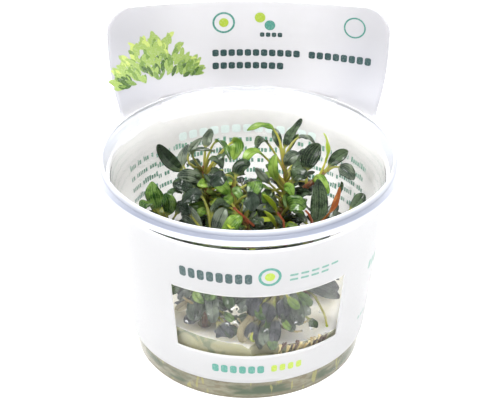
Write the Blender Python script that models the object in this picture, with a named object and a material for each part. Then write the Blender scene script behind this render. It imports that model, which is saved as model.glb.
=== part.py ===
"""Clear tissue-culture cup of small aquarium plants, standing in nutrient gel, with its printed film.

The origin is the middle of the cup's foot, +Z is up and the window side of the film faces -Y.
All lengths below are in millimetres and are turned into metres when a mesh is made.
"""
import math

import bmesh
import bpy
from mathutils import Vector

MM = 0.001
GAP = 0.35

# Cup, a turned moulding
CUP_SIDES = 36
CUP_WALL = 0.7
CUP_TAPER = 0.1022
CUP_BODY_RADIUS = 39.25
CUP_BODY_TOP = 64.8
CUP_FLOOR = 1.7
FOOT_HEIGHT = 0.9
FOOT_OUTER = 38.4
FOOT_INNER = 36.4
COLLAR_RADIUS = 47.2
COLLAR_FOOT = 66.2
FLANGE_RADIUS = 51.0
FLANGE_UNDERSIDE = 68.4
FLANGE_TOP = 70.0
LIP_RADIUS = 47.3
LIP_HEIGHT = 72.2

# Film, one sheet that wraps the cup as a sleeve and stands up behind it as a tag
FILM_THICKNESS = 0.3
FILM_CLEARANCE = 0.5
FILM_RADIUS = CUP_BODY_RADIUS + FILM_CLEARANCE
SLEEVE_BOTTOM = 8.3
SLEEVE_TOP = 64.1
WINDOW_BOTTOM = 20.1
WINDOW_TOP = 45.6
SLEEVE_ROWS = (SLEEVE_BOTTOM, WINDOW_BOTTOM, WINDOW_TOP, 56.0, SLEEVE_TOP)
WINDOW_LEFT_DEG = 212.9
WINDOW_RIGHT_DEG = 136.4
TAG_HALF_DEG = 62.0
TAG_TOP = 103.2
TAG_CORNER = 9.0
TAG_OUT = 51.35
TAG_OPEN_FROM = 46.0
TAG_OPEN_BY = 68.0
TAG_BEND_LOW = 62.0
TAG_BEND_HIGH = 150.0
TAG_FADE_DEG = 95.0
SLOT_HALF_DEG = 41.0
SLOT_TOP = 69.3
TONGUE_HALF_DEG = 12.0
TONGUE_BOTTOM = 67.3
TAG_ROWS = (66.2, TONGUE_BOTTOM, TAG_OPEN_BY, SLOT_TOP, 84.0)
TAG_CORNER_STEPS_DEG = (0.0, 30.0, 60.0, 90.0)
COLUMN_STEP_DEG = 9.0
COLUMN_CLEAR_DEG = 3.5

# Gel, cast in the cup
GEL_SIDES = 24
GEL_LEVEL = 22.6
GEL_TILT = 0.09
GEL_MENISCUS = 0.7
SOCKET_RADIUS = 1.75
SOCKET_SIDES = 8
HOLLOW_X = 6.0
HOLLOW_Y = -41.5
HOLLOW_RADIUS = 5.25
HOLLOW_FLOOR = 17.5
HOLLOW_SIDES = 12

# Plants
STEM_SIDES = 5
STEM_BANDS = 8
STEM_FOOT_HEIGHT = 17.0
STEM_FOOT_RADIUS = 1.2
STEM_TIP_RADIUS = 0.7
LEAF_THICKNESS = 0.55
LEAF_FOLD = 0.22
STALK_WIDTH = 0.85
STALK_STOPS = (0.0, 1.0)
BLADE_STOPS = (0.15, 0.4, 0.68, 0.9)
SMALL_BLADE_STOPS = (0.2, 0.5, 0.82)
BLADE_ROUNDNESS = 0.6

# Small leaves that spiral round each rhizome
SPIRAL_TURN_DEG = 137.5
SPIRAL_REACH = 9.0
SPIRAL_RISE = 3.0
SPIRAL_WIDTH = 4.4
SPIRAL_STALK = 0.25

UP = (0.0, 0.0, 1.0)
FRONT = (0.0, -1.0, 0.15)
FRONT_UP = (0.0, -0.7, 0.7)
RIGHT_UP = (0.7, -0.25, 0.65)
BACK_UP = (0.0, 0.6, 0.8)
FRONT_LEFT = (-0.6, -0.8, 0.3)
FRONT_RIGHT = (0.6, -0.8, 0.3)

COLOURS = {
    "clear": ((0.93, 0.95, 0.97), 0.12),
    "film": ((0.93, 0.93, 0.94), 0.38),
    "gel": ((0.80, 0.79, 0.68), 0.25),
    "stem": ((0.10, 0.11, 0.035), 0.45),
    "dark": ((0.020, 0.045, 0.022), 0.28),
    "green": ((0.050, 0.140, 0.030), 0.32),
    "grey": ((0.090, 0.130, 0.095), 0.42),
    "light": ((0.190, 0.360, 0.060), 0.34),
    "lime": ((0.380, 0.500, 0.050), 0.36),
}

# Rhizomes, each a list of points from its foot in the gel to its crown
STEMS = {
    "left": ((-12, 4, STEM_FOOT_HEIGHT), (-12, 4, 28), (-11.5, 7, 40), (-13.5, 10.5, 48), (-15, 12.5, 54),
             (-15.2, 14, 58.5)),
    "right": ((10.5, 1, STEM_FOOT_HEIGHT), (10.5, 1, 28), (10.5, 4, 40), (12, 9, 48), (13, 12.5, 53.5),
              (11.8, 17, 61)),
    "middle": ((3, -10, STEM_FOOT_HEIGHT), (3, -10, 28), (2.5, -9.5, 40), (0, -7.5, 47), (-3.2, -4.5, 51),
               (-5.2, -1.5, 54.5), (-4.5, 3, 59)),
    "outer": ((-27, -1, STEM_FOOT_HEIGHT), (-27, -1, 28), (-28, 0, 38), (-29.5, 1.5, 45)),
    "front": ((-13, -14, STEM_FOOT_HEIGHT), (-13, -14, 28), (-12.5, -13, 38), (-12, -11, 46)),
    "far": ((20, -9, STEM_FOOT_HEIGHT), (20, -9, 28), (21, -8, 38), (22, -6, 46)),
    "pane_left": ((-14, -29, STEM_FOOT_HEIGHT), (-14, -29, 28), (-14, -28.5, 34), (-13, -27, 40)),
    "pane_right": ((9, -28, STEM_FOOT_HEIGHT), (9, -28, 28), (9.5, -27, 36), (11, -26, 41)),
    "back": ((-3, 24, STEM_FOOT_HEIGHT), (-3, 24, 28), (-2, 24, 35), (0, 23.5, 41)),
}
BRANCH = "right_branch"
ROUTES = {
    **STEMS,
    BRANCH: ((15.4, 10.4, 50.6), (17.5, 8.2, 51.6), (21, 8.5, 54.6), (24, 9.5, 56), (26.5, 11, 58.5)),
}

# Spiral of small leaves on each rhizome: how many, heading of the first in degrees from the back, lowest and
# highest place of one, and the turns left bare because another leaf already stands there
SPIRALS = {
    "left": (13, 110, 30, 54, (11,)),
    "right": (13, 200, 30, 54, (11,)),
    "middle": (12, 200, 29, 51, ()),
    "outer": (8, 20, 28, 43, ()),
    "front": (11, 10, 29, 45, (10,)),
    "far": (11, 10, 29, 45, ()),
    "pane_left": (5, 220, 27, 36, ()),
    "pane_right": (5, 0, 27, 36, (4,)),
    "back": (9, 0, 28, 40, ()),
}

# Young leaves, grown on their rhizome: rhizome, place along it, a point midway, the tip, width, stalk, facing
YOUNG_LEAVES = (
    ("left", 0.93, (-20.5, 11.5, 62.5), (-15.5, 14, 69.5), 2.6, 0.62, FRONT_UP),
    ("left", 0.82, (-10.5, 18, 58), (-8, 22.5, 61), 2.8, 0.4, FRONT_UP),
    ("left", 0.44, (-14.5, -1, 50), (-16, -4.5, 49.5), 3.4, 0.4, FRONT_UP),
    ("right", 0.95, (10.5, 22, 63), (9, 26, 66.5), 3.2, 0.35, FRONT_UP),
    ("right", 0.9, (14.5, 20, 62.5), (17.5, 23, 66), 1.8, 0.4, FRONT),
    ("right", 0.84, (17, 19.5, 58.5), (21, 24, 59), 3.6, 0.35, UP),
    ("right", 0.62, (6, 10, 55.5), (2.5, 12.5, 58.5), 2.8, 0.35, FRONT_UP),
    ("right", 0.56, (17.5, 4, 53.5), (20.5, 2.5, 54.5), 2.8, 0.35, FRONT_UP),
    ("right", 0.5, (6.5, -3, 55), (5, -3, 58.5), 1.8, 0.4, FRONT),
    ("middle", 0.45, (11, -10, 49.5), (5.5, -9.5, 54), 1.8, 0.35, FRONT),
    ("outer", 0.94, (-26, 5, 52.5), (-22.5, 6, 52), 3.4, 0.35, UP),
    ("outer", 0.76, (-23.5, 3.5, 47.5), (-22.5, 5.5, 50), 3.2, 0.35, FRONT_UP),
    ("far", 0.85, (27, -3, 49.5), (30.5, 0, 51), 4.0, 0.25, FRONT_UP),
    ("far", 0.9, (30, 4, 52), (31.5, 6, 57), 1.4, 0.3, FRONT),
    ("back", 1.0, (-7, 27, 45), (-13, 29, 42), 4.0, 0.3, BACK_UP),
    ("back", 0.95, (6, 27, 45), (11, 29, 41.5), 4.0, 0.3, BACK_UP),
)

# Leaves: name, stem, place along the stem, a point midway, the tip, width, stalk share, facing, colour
LEAVES = (
    ("left_long", "left", 0.9, (-23.5, 12, 58.5), (-30.5, 12, 68), 4.9, 0.42, FRONT_UP, "dark"),
    ("left_slate", "left", 0.8, (-22.5, 16, 57.5), (-20.5, 20, 63.5), 5.3, 0.45, FRONT_LEFT, "grey"),
    ("left_crown", "left", 1.0, (-14.5, 16.5, 65), (-12.5, 20, 69.5), 3.7, 0.45, FRONT, "grey"),
    ("left_arch", "left", 0.93, (-18.5, 9, 66.5), (-11, 8, 67.5), 3.2, 0.4, UP, "grey"),
    ("left_hook", "left", 0.96, (-10.5, 12.5, 69), (-6, 6, 65), 3.0, 0.42, RIGHT_UP, "green"),
    ("left_heart", "left", 0.88, (-5.5, 16, 66.5), (-5, 12.5, 61.5), 5.6, 0.5, FRONT, "light"),
    ("left_ribbed", "left", 0.86, (-12, 6, 66.5), (-8.5, 2.5, 64), 5.0, 0.35, FRONT_RIGHT, "dark"),
    ("left_round", "left", 0.75, (-12.5, 5, 61), (-10.5, -1, 59), 6.1, 0.4, FRONT_UP, "dark"),
    ("left_wide", "left", 0.7, (-18.5, 8, 57.5), (-24, 6, 59), 5.0, 0.15, FRONT_UP, "grey"),
    ("left_low", "left", 0.56, (-20, 6, 54.5), (-25.5, 5.5, 56), 5.2, 0.25, FRONT_UP, "dark"),
    ("left_twist", "left", 0.66, (-13, 3, 58), (-17, 0, 59), 3.9, 0.4, FRONT_UP, "light"),
    ("left_under", "left", 0.5, (-17.5, 3, 53.5), (-21.5, -0.5, 52), 5.8, 0.3, FRONT_UP, "dark"),
    ("right_tall", "right", 1.0, (13.5, 20, 65), (18.5, 25, 71), 4.2, 0.3, FRONT_LEFT, "dark"),
    ("right_sickle", "right", 0.93, (8.5, 19, 70), (-0.5, 18, 70), 3.2, 0.45, UP, "light"),
    ("right_curl", "right", 0.88, (6, 14, 68), (3, 11, 67), 4.8, 0.4, UP, "dark"),
    ("right_bow", "right", 0.97, (17.5, 18, 67.5), (23.5, 15.5, 65), 3.0, 0.45, RIGHT_UP, "grey"),
    ("right_broad", BRANCH, 0.45, (20.5, 11.5, 62), (24.5, 14, 67), 6.3, 0.25, FRONT_UP, "dark"),
    ("right_pale", "right", 0.8, (13.5, 9.5, 63), (17.5, 9.5, 65.5), 4.5, 0.3, FRONT_UP, "grey"),
    ("right_glossy", "right", 0.62, (16, 4.5, 60), (19.5, 3, 60), 5.8, 0.35, FRONT_UP, "dark"),
    ("right_nod", "right", 0.75, (4, 8.5, 66.5), (-1.5, 4, 65), 4.5, 0.4, UP, "light"),
    ("right_blade", "right", 0.68, (8.5, 5, 61.5), (9.5, 7, 67), 3.5, 0.25, FRONT, "light"),
    ("right_tongue", "right", 0.56, (13, 2.5, 57), (15, -1, 55), 3.7, 0.35, FRONT_UP, "light"),
    ("right_apron", "right", 0.44, (14.5, -3, 53.5), (19, -5, 53), 5.8, 0.35, FRONT_UP, "green"),
    ("side_lime", BRANCH, 0.79, (27, 12.8, 65), (25.5, 15.5, 70.5), 2.6, 0.25, RIGHT_UP, "lime"),
    ("side_dark", BRANCH, 0.94, (29.5, 11.8, 62.4), (34, 13, 65), 4.3, 0.2, FRONT_UP, "dark"),
    ("side_round", BRANCH, 1.0, (31, 10.5, 60), (36, 8, 56.5), 5.3, 0.45, FRONT_UP, "grey"),
    ("side_droop", BRANCH, 0.6, (23.5, 5, 59), (27, 0.5, 55.5), 4.2, 0.25, FRONT_UP, "light"),
    ("middle_fold", "middle", 0.95, (-3, 3, 63.5), (0.5, 1, 66), 5.8, 0.25, FRONT_UP, "dark"),
    ("middle_shoulder", "middle", 0.9, (2, -1.5, 61), (0, -5.5, 58), 5.8, 0.4, UP, "green"),
    ("middle_green", "middle", 0.72, (-4, -4, 59.5), (-1.5, -7, 56.5), 3.4, 0.25, FRONT_UP, "green"),
    ("middle_cape", "middle", 0.59, (1.5, -4, 56.9), (-1.5, -9, 54), 4.6, 0.35, FRONT_UP, "dark"),
    ("middle_pale", "middle", 0.8, (-8, -2, 59.5), (-12.5, -2, 61.5), 4.5, 0.15, FRONT_UP, "light"),
    ("outer_oval", "outer", 1.0, (-31.5, 3.5, 51), (-32.5, 6, 57), 6.3, 0.2, FRONT, "green"),
    ("outer_curl", "outer", 0.8, (-33, 0, 51), (-35, -3, 51), 5.3, 0.35, UP, "green"),
    ("outer_green", "outer", 0.92, (-26.5, 0, 51), (-28, 0.5, 55.5), 5.3, 0.2, FRONT, "green"),
    ("front_slate", "front", 0.85, (-18.5, -8, 51), (-22, -5, 50), 5.5, 0.2, FRONT_UP, "grey"),
    ("front_arch", "front", 1.0, (-11, -7, 55), (-6, -8, 55.5), 5.0, 0.3, UP, "dark"),
    ("front_oval", "front", 0.92, (-9.5, -11, 52), (-7.5, -9.5, 56), 5.0, 0.2, FRONT_UP, "grey"),
    ("front_light", "front", 0.8, (-6, -14, 52), (-2, -12.5, 55), 5.3, 0.2, FRONT_UP, "light"),
    ("tall_dark", "far", 1.0, (23.5, -5, 54), (23, -0.5, 62), 6.0, 0.1, FRONT, "dark"),
    ("far_right", "far", 0.75, (34, -3.5, 51.5), (38.5, 0, 56), 4.2, 0.5, FRONT_UP, "dark"),
    ("pane_round", "pane_left", 0.9, (-16, -33, 35), (-17, -37, 31), 6.3, 0.2, FRONT, "dark"),
    ("pane_hanging", "pane_left", 1.0, (-11.5, -34, 37), (-11, -37.5, 30.5), 4.5, 0.3, FRONT, "grey"),
    ("pane_low", "pane_right", 0.8, (7.5, -36, 31), (8.5, -39, 21), 4.2, 0.25, FRONT, "green"),
    ("pane_deep", "pane_right", 0.65, (4.1, -35.5, 28), (4.2, -38.8, 20.8), 3.4, 0.2, FRONT, "dark"),
    ("pane_right", "pane_right", 0.95, (14, -33, 36), (17, -36.5, 29), 5.5, 0.3, FRONT, "dark"),
    ("pane_lean", "far", 0.62, (24.5, -25, 38), (28.5, -27.5, 35), 6.1, 0.4, FRONT_UP, "dark"),
)


def remove_all():
    """Empty the scene before the part is modelled."""
    for old in list(bpy.data.objects):
        bpy.data.objects.remove(old, do_unlink=True)


def make_material(name):
    """Return the plain finish of one kind of piece."""
    colour, roughness = COLOURS[name]
    finish = bpy.data.materials.new(name)
    finish.use_nodes = True
    shader = finish.node_tree.nodes["Principled BSDF"]
    shader.inputs["Base Color"].default_value = (*colour, 1.0)
    shader.inputs["Roughness"].default_value = roughness
    shader.inputs["Metallic"].default_value = 0.0
    finish.diffuse_color = (*colour, 1.0)
    return finish


def make_object(name, shape, finish, crease_deg=40.0):
    """Link a bmesh as a smooth-shaded object, scaled from millimetres to metres."""
    bmesh.ops.scale(shape, vec=(MM, MM, MM), verts=shape.verts)
    mesh = bpy.data.meshes.new(name)
    shape.to_mesh(mesh)
    shape.free()
    mesh.shade_smooth()
    mesh.set_sharp_from_angle(angle=math.radians(crease_deg))
    mesh.materials.append(finish)
    piece = bpy.data.objects.new(name, mesh)
    bpy.context.scene.collection.objects.link(piece)
    return piece


def on_ring(radius, degrees, height):
    """Point on a level ring, measured from the back (+Y) towards +X."""
    turn = math.radians(degrees)
    return Vector((radius * math.sin(turn), radius * math.cos(turn), height))


def bridge(shape, lower, upper):
    """Close the band between two rings of equal count, facing outwards when they run clockwise."""
    count = len(lower)
    for k in range(count):
        n = (k + 1) % count
        shape.faces.new((lower[n], lower[k], upper[k], upper[n]))


def turn_profile(profile, sides, height_of=None):
    """Turn (radius, height) points, from the axis below round the outside to the axis above."""
    shape = bmesh.new()
    lift = height_of or (lambda point: point.z)
    rings = []
    for radius, height in profile[1:-1]:
        ring = [on_ring(radius, 360.0 * k / sides, height) for k in range(sides)]
        rings.append([shape.verts.new((p.x, p.y, lift(p))) for p in ring])
    for lower, upper in zip(rings, rings[1:]):
        bridge(shape, lower, upper)
    ends = [shape.verts.new((0.0, 0.0, lift(Vector((0.0, 0.0, profile[i][1]))))) for i in (0, -1)]
    for k in range(sides):
        n = (k + 1) % sides
        shape.faces.new((rings[0][k], rings[0][n], ends[0]))
        shape.faces.new((rings[-1][n], rings[-1][k], ends[1]))
    return shape


def wall_radius(height):
    """Outer radius of the tapered cup body at a height."""
    return CUP_BODY_RADIUS + CUP_TAPER * height


def build_cup():
    """Turn the clear cup: foot ring, tapered body, stepped collar, flange and raised lip."""
    body_top = wall_radius(CUP_BODY_TOP)
    collar_inside = COLLAR_RADIUS - CUP_WALL
    profile = (
        (0.0, FOOT_HEIGHT),
        (FOOT_INNER - 0.8, FOOT_HEIGHT),
        (FOOT_INNER, 0.0),
        (FOOT_OUTER, 0.0),
        (wall_radius(0.7) - 0.1, 0.7),
        (body_top, CUP_BODY_TOP),
        (COLLAR_RADIUS, COLLAR_FOOT),
        (COLLAR_RADIUS + 0.3, FLANGE_UNDERSIDE),
        (FLANGE_RADIUS, FLANGE_UNDERSIDE),
        (FLANGE_RADIUS - 0.2, FLANGE_TOP),
        (LIP_RADIUS + 1.3, FLANGE_TOP + 0.6),
        (LIP_RADIUS + 0.9, LIP_HEIGHT - 0.2),
        (LIP_RADIUS + 0.4, LIP_HEIGHT),
        (LIP_RADIUS, LIP_HEIGHT - 0.3),
        (collar_inside, COLLAR_FOOT + 0.8),
        (body_top - CUP_WALL, CUP_BODY_TOP + 0.4),
        (wall_radius(CUP_FLOOR) - CUP_WALL, CUP_FLOOR + 0.6),
        (wall_radius(CUP_FLOOR) - CUP_WALL - 0.9, CUP_FLOOR),
        (0.0, CUP_FLOOR),
    )
    return make_object("cup", turn_profile(profile, CUP_SIDES), make_material("clear"), 30.0)


def ease(value):
    """Smooth step from 0 to 1."""
    t = min(max(value, 0.0), 1.0)
    return t * t * (3.0 - 2.0 * t)


def film_point(degrees, height):
    """Middle of the film at an angle from the back and a height.

    Round the cup it is a cone. Towards the tag it opens outwards, flattens and passes the flange.
    """
    snug = FILM_RADIUS + CUP_TAPER * min(height, SLEEVE_TOP)
    angle = (degrees + 180.0) % 360.0 - 180.0
    on_cone = on_ring(snug, angle, height)
    opening = max(height - TAG_OPEN_FROM, 0.0) / (TAG_OPEN_BY - TAG_OPEN_FROM)
    opening = min(opening, 1.0) ** 5
    fade = 1.0 - ease((abs(angle) - TAG_HALF_DEG) / (TAG_FADE_DEG - TAG_HALF_DEG))
    if opening * fade == 0.0:
        return on_cone
    flatter = ease((height - TAG_OPEN_BY) / (TAG_TOP - TAG_OPEN_BY - TAG_CORNER))
    bend = snug + (TAG_BEND_LOW - snug) * opening + (TAG_BEND_HIGH - TAG_BEND_LOW) * flatter
    middle = snug + (TAG_OUT - snug) * opening
    turn = math.radians(angle) * snug / bend
    opened = Vector((bend * math.sin(turn), middle - bend * (1.0 - math.cos(turn)), height))
    return on_cone.lerp(opened, fade)


def film_columns():
    """Angles of the film's columns, with one on each cut edge."""
    edges = (TAG_HALF_DEG, SLOT_HALF_DEG, TONGUE_HALF_DEG)
    cuts = [a % 360.0 for a in edges] + [(-a) % 360.0 for a in edges]
    cuts += [WINDOW_LEFT_DEG, WINDOW_RIGHT_DEG]
    steps = [COLUMN_STEP_DEG * k for k in range(round(360.0 / COLUMN_STEP_DEG))]
    plain = [a for a in steps if all(abs(a - c) > COLUMN_CLEAR_DEG for c in cuts)]
    return sorted(cuts + plain)


def film_cells(columns, heights):
    """Yield the column and row of each cell that holds film."""
    for row in range(len(heights) - 1):
        middle_height = (heights[row] + heights[row + 1]) / 2.0
        for column, angle in enumerate(columns):
            following = columns[(column + 1) % len(columns)]
            middle = (angle + ((following - angle) % 360.0) / 2.0) % 360.0
            from_back = abs((middle + 180.0) % 360.0 - 180.0)
            in_window = (WINDOW_RIGHT_DEG < middle < WINDOW_LEFT_DEG
                         and WINDOW_BOTTOM < middle_height < WINDOW_TOP)
            beside_tag = middle_height > SLEEVE_TOP and from_back > TAG_HALF_DEG
            in_slot = SLEEVE_TOP < middle_height < SLOT_TOP and from_back < SLOT_HALF_DEG
            on_tongue = middle_height > TONGUE_BOTTOM and from_back < TONGUE_HALF_DEG
            if in_window or beside_tag or (in_slot and not on_tongue):
                continue
            yield column, row


def build_film():
    """Fold the printed film round the cup: sleeve with a window, bridges, slot, tongue and tall tag."""
    columns = film_columns()
    corner_rows = [TAG_TOP - TAG_CORNER * (1.0 - math.sin(math.radians(a))) for a in TAG_CORNER_STEPS_DEG]
    heights = [*SLEEVE_ROWS, *TAG_ROWS, *corner_rows]
    half_width = math.radians(TAG_HALF_DEG) * (FILM_RADIUS + CUP_TAPER * SLEEVE_TOP)
    shape = bmesh.new()
    grid = {}

    def vertex(column, row):
        key = (column % len(columns), row)
        if key not in grid:
            height = heights[row]
            rise = max(height - (TAG_TOP - TAG_CORNER), 0.0)
            inset = TAG_CORNER - math.sqrt(TAG_CORNER ** 2 - min(rise, TAG_CORNER) ** 2)
            angle = (columns[key[0]] + 180.0) % 360.0 - 180.0
            angle *= (half_width - inset) / half_width if rise > 0.0 else 1.0
            grid[key] = shape.verts.new(film_point(angle, height))
        return grid[key]

    for column, row in film_cells(columns, heights):
        shape.faces.new((vertex(column, row), vertex(column, row + 1),
                         vertex(column + 1, row + 1), vertex(column + 1, row)))
    film = make_object("printed_film", shape, make_material("film"), 50.0)
    thicken = film.modifiers.new("film thickness", "SOLIDIFY")
    thicken.thickness = FILM_THICKNESS * MM
    thicken.offset = 0.0
    thicken.use_even_offset = True
    return film


def build_gel():
    """Cast the gel in the cup, with a socket for each rhizome and a hollow at the front wall."""
    bottom = CUP_FLOOR + GAP
    lowest_edge = GEL_LEVEL - GEL_TILT * CUP_BODY_RADIUS
    edge = wall_radius(lowest_edge) - CUP_WALL - GAP
    corner = wall_radius(bottom) - CUP_WALL - GAP - 0.9
    profile = (
        (0.0, bottom),
        (corner, bottom),
        (corner + 0.8, bottom + 0.9),
        (edge, GEL_LEVEL + GEL_MENISCUS),
        (edge - 0.4, GEL_LEVEL + GEL_MENISCUS),
        (edge - 2.0, GEL_LEVEL),
        (0.0, GEL_LEVEL),
    )

    def tilt(point):
        """Height of a point, the top ones lower to the right because the gel set with the cup tilted."""
        return point.z - (GEL_TILT * point.x if point.z > GEL_LEVEL / 2.0 else 0.0)

    gel = make_object("gel", turn_profile(profile, GEL_SIDES, tilt), make_material("gel"), 50.0)
    cutter = bmesh.new()
    for points in STEMS.values():
        x, y, _ = points[0]
        add_prism(cutter, x, y, STEM_FOOT_HEIGHT - GAP, SOCKET_RADIUS, SOCKET_SIDES)
    add_prism(cutter, HOLLOW_X, HOLLOW_Y, HOLLOW_FLOOR, HOLLOW_RADIUS, HOLLOW_SIDES)
    sockets = make_object("gel_sockets", cutter, make_material("gel"))
    sockets.hide_render = True
    sockets.display_type = "WIRE"
    cut = gel.modifiers.new("sockets", "BOOLEAN")
    cut.operation = "DIFFERENCE"
    cut.solver = "EXACT"
    cut.object = sockets
    return gel


def add_prism(shape, x, y, bottom, radius, sides):
    """Add an upright prism that ends well above the gel."""
    top = GEL_LEVEL + 6.0
    rings = []
    for height in (bottom, top):
        ring = [on_ring(radius, 360.0 * (k + 0.5) / sides, height) for k in range(sides)]
        rings.append([shape.verts.new(point + Vector((x, y, 0.0))) for point in ring])
    bridge(shape, *rings)
    shape.faces.new(rings[0])
    shape.faces.new(list(reversed(rings[1])))


def along_route(points, share):
    """Point at a share of the way along the Catmull-Rom curve through a route."""
    route = [Vector(p) for p in points]
    padded = [route[0] * 2.0 - route[1], *route, route[-1] * 2.0 - route[-2]]
    place = min(max(share, 0.0), 1.0) * (len(route) - 1)
    first = min(int(place), len(route) - 2)
    a, b, c, d = padded[first:first + 4]
    t = place - first
    return 0.5 * ((2.0 * b) + (c - a) * t + (2.0 * a - 5.0 * b + 4.0 * c - d) * t ** 2
                  + (3.0 * b - a - 3.0 * c + d) * t ** 3)


def route_heading(points, share):
    """Direction of a route at a share of the way along it."""
    step = 0.02
    return (along_route(points, share + step) - along_route(points, share - step)).normalized()


def stem_radius(share):
    """Radius of a rhizome, which tapers towards its crown."""
    return STEM_FOOT_RADIUS + (STEM_TIP_RADIUS - STEM_FOOT_RADIUS) * share


def loft(shape, rings, tip=None):
    """Skin rings of equal count, close the first, and close the last with a face or a tip point."""
    made = [[shape.verts.new(p) for p in ring] for ring in rings]
    for lower, upper in zip(made, made[1:]):
        bridge(shape, lower, upper)
    shape.faces.new(made[0])
    if tip is None:
        shape.faces.new(list(reversed(made[-1])))
        return
    point = shape.verts.new(tip)
    for k, corner in enumerate(made[-1]):
        shape.faces.new((made[-1][(k + 1) % len(made[-1])], corner, point))


def stem_rings(points):
    """Rings of a tapering round stem along its route."""
    rings = []
    for band in range(STEM_BANDS + 1):
        share = band / STEM_BANDS
        centre = along_route(points, share)
        along = route_heading(points, share)
        side = along.cross(Vector((0.0, 1.0, 0.0))).normalized()
        other = side.cross(along)
        ring = []
        for k in range(STEM_SIDES):
            turn = 2.0 * math.pi * k / STEM_SIDES
            ring.append(centre + stem_radius(share) * (math.cos(turn) * side + math.sin(turn) * other))
        rings.append(ring)
    return rings


def leaf_root(points, share, aim):
    """Point just off a stem's skin, on the side that looks towards aim."""
    centre = along_route(points, share)
    along = route_heading(points, share)
    away = aim - centre
    away = (away - along * away.dot(along)).normalized()
    return centre + away * (stem_radius(share) + GAP + STALK_WIDTH / 2.0)


def leaf_rings(curve, width, stalk, facing, blade_stops=BLADE_STOPS):
    """Rings of a leaf along the curve through its root, middle and tip: edge, upper rib, edge, lower rib."""
    root, middle, tip = (Vector(point) for point in curve)
    control = middle * 2.0 - (root + tip) * 0.5
    stops = [(stalk * share, STALK_WIDTH, STALK_WIDTH, 0.0) for share in STALK_STOPS]
    for share in blade_stops:
        across = width * (4.0 * share * (1.0 - share)) ** BLADE_ROUNDNESS
        stops.append((stalk + (1.0 - stalk) * share, across, LEAF_THICKNESS, LEAF_FOLD * across / 2.0))
    rings = []
    for t, across, thick, fold in stops:
        centre = root.lerp(control, t).lerp(control.lerp(tip, t), t)
        along = (control.lerp(tip, t) - root.lerp(control, t)).normalized()
        side = Vector(facing).cross(along).normalized()
        upper = along.cross(side)
        rings.append((centre - side * across / 2.0 + upper * fold, centre + upper * thick / 2.0,
                      centre + side * across / 2.0 + upper * fold, centre - upper * thick / 2.0))
    return rings


def small_leaf_rings(curve, width, stalk, facing):
    """Rings of a small leaf, which has no upper rib and so three points a ring."""
    rings = leaf_rings(curve, width, stalk, facing, SMALL_BLADE_STOPS)
    return [(left, right, lower) for left, _, right, lower in rings]


def share_at(points, height):
    """Share of the way along a rising route at which it reaches a height."""
    low, high = 0.0, 1.0
    for _ in range(20):
        middle = (low + high) / 2.0
        if along_route(points, middle).z < height:
            low = middle
        else:
            high = middle
    return low


def spiral_leaves(name):
    """Yield the curve of each small leaf in the spiral round a rhizome."""
    if name not in SPIRALS:
        return
    count, first_deg, lowest, highest, bare = SPIRALS[name]
    for order in range(count):
        if order in bare:
            continue
        height = lowest + (highest - lowest) * order / (count - 1)
        base = along_route(ROUTES[name], share_at(ROUTES[name], height))
        out = on_ring(SPIRAL_REACH, first_deg + SPIRAL_TURN_DEG * order, 0.0)
        rise = Vector((0.0, 0.0, SPIRAL_RISE))
        yield base, base + out * 0.55 + rise, base + out + rise * 0.7


def build_stem(name, points):
    """Model one rhizome with the small leaves that grow on it."""
    shape = bmesh.new()
    loft(shape, stem_rings(points))
    stem = make_object(f"rhizome_{name}", shape, make_material("stem"), 60.0)
    small = bmesh.new()
    for owner, share, middle, tip, width, stalk, facing in YOUNG_LEAVES:
        if owner == name:
            curve = (along_route(points, share), middle, tip)
            loft(small, small_leaf_rings(curve, width, stalk, facing), tip)
    for curve in spiral_leaves(name):
        loft(small, small_leaf_rings(curve, SPIRAL_WIDTH, SPIRAL_STALK, UP), curve[-1])
    if not small.verts:
        small.free()
        return stem
    leaves = make_object(f"leaves_on_{name}", small, make_material("stem"), 60.0)
    leaves.hide_render = True
    leaves.display_type = "WIRE"
    grow = stem.modifiers.new("small leaves", "BOOLEAN")
    grow.operation = "UNION"
    grow.solver = "EXACT"
    grow.use_self = True
    grow.object = leaves
    return stem


def build_leaf(row):
    """Model one leaf with its stalk from its row in LEAVES."""
    name, stem, share, middle, tip, width, stalk, facing, colour = row
    root = leaf_root(ROUTES[stem], share, Vector(middle))
    shape = bmesh.new()
    loft(shape, leaf_rings((root, middle, tip), width, stalk, facing), tip)
    return make_object(name, shape, make_material(colour), 60.0)


def main():
    """Model every piece of the cup."""
    remove_all()
    build_cup()
    build_film()
    build_gel()
    for name, points in ROUTES.items():
        build_stem(name, points)
    for row in LEAVES:
        build_leaf(row)


main()
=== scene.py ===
"""Dress a clear cup of small aquarium plants: cup, printed film, gel, rhizomes, leaves, roots and print.

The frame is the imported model. The origin is the middle of the cup's foot, +Z is up and the window of the
film faces -Y. Sizes of shapes are in millimetres, and angles round the cup run from the back towards +X.
Heights and places in the finishes are in metres, as a shader sees them.
"""
from __future__ import annotations

import logging
import math
import random
from collections.abc import Callable, Iterator, Sequence
from dataclasses import dataclass, field
from enum import Enum
from functools import cached_property

import bmesh
import bpy
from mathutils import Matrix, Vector, noise


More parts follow.
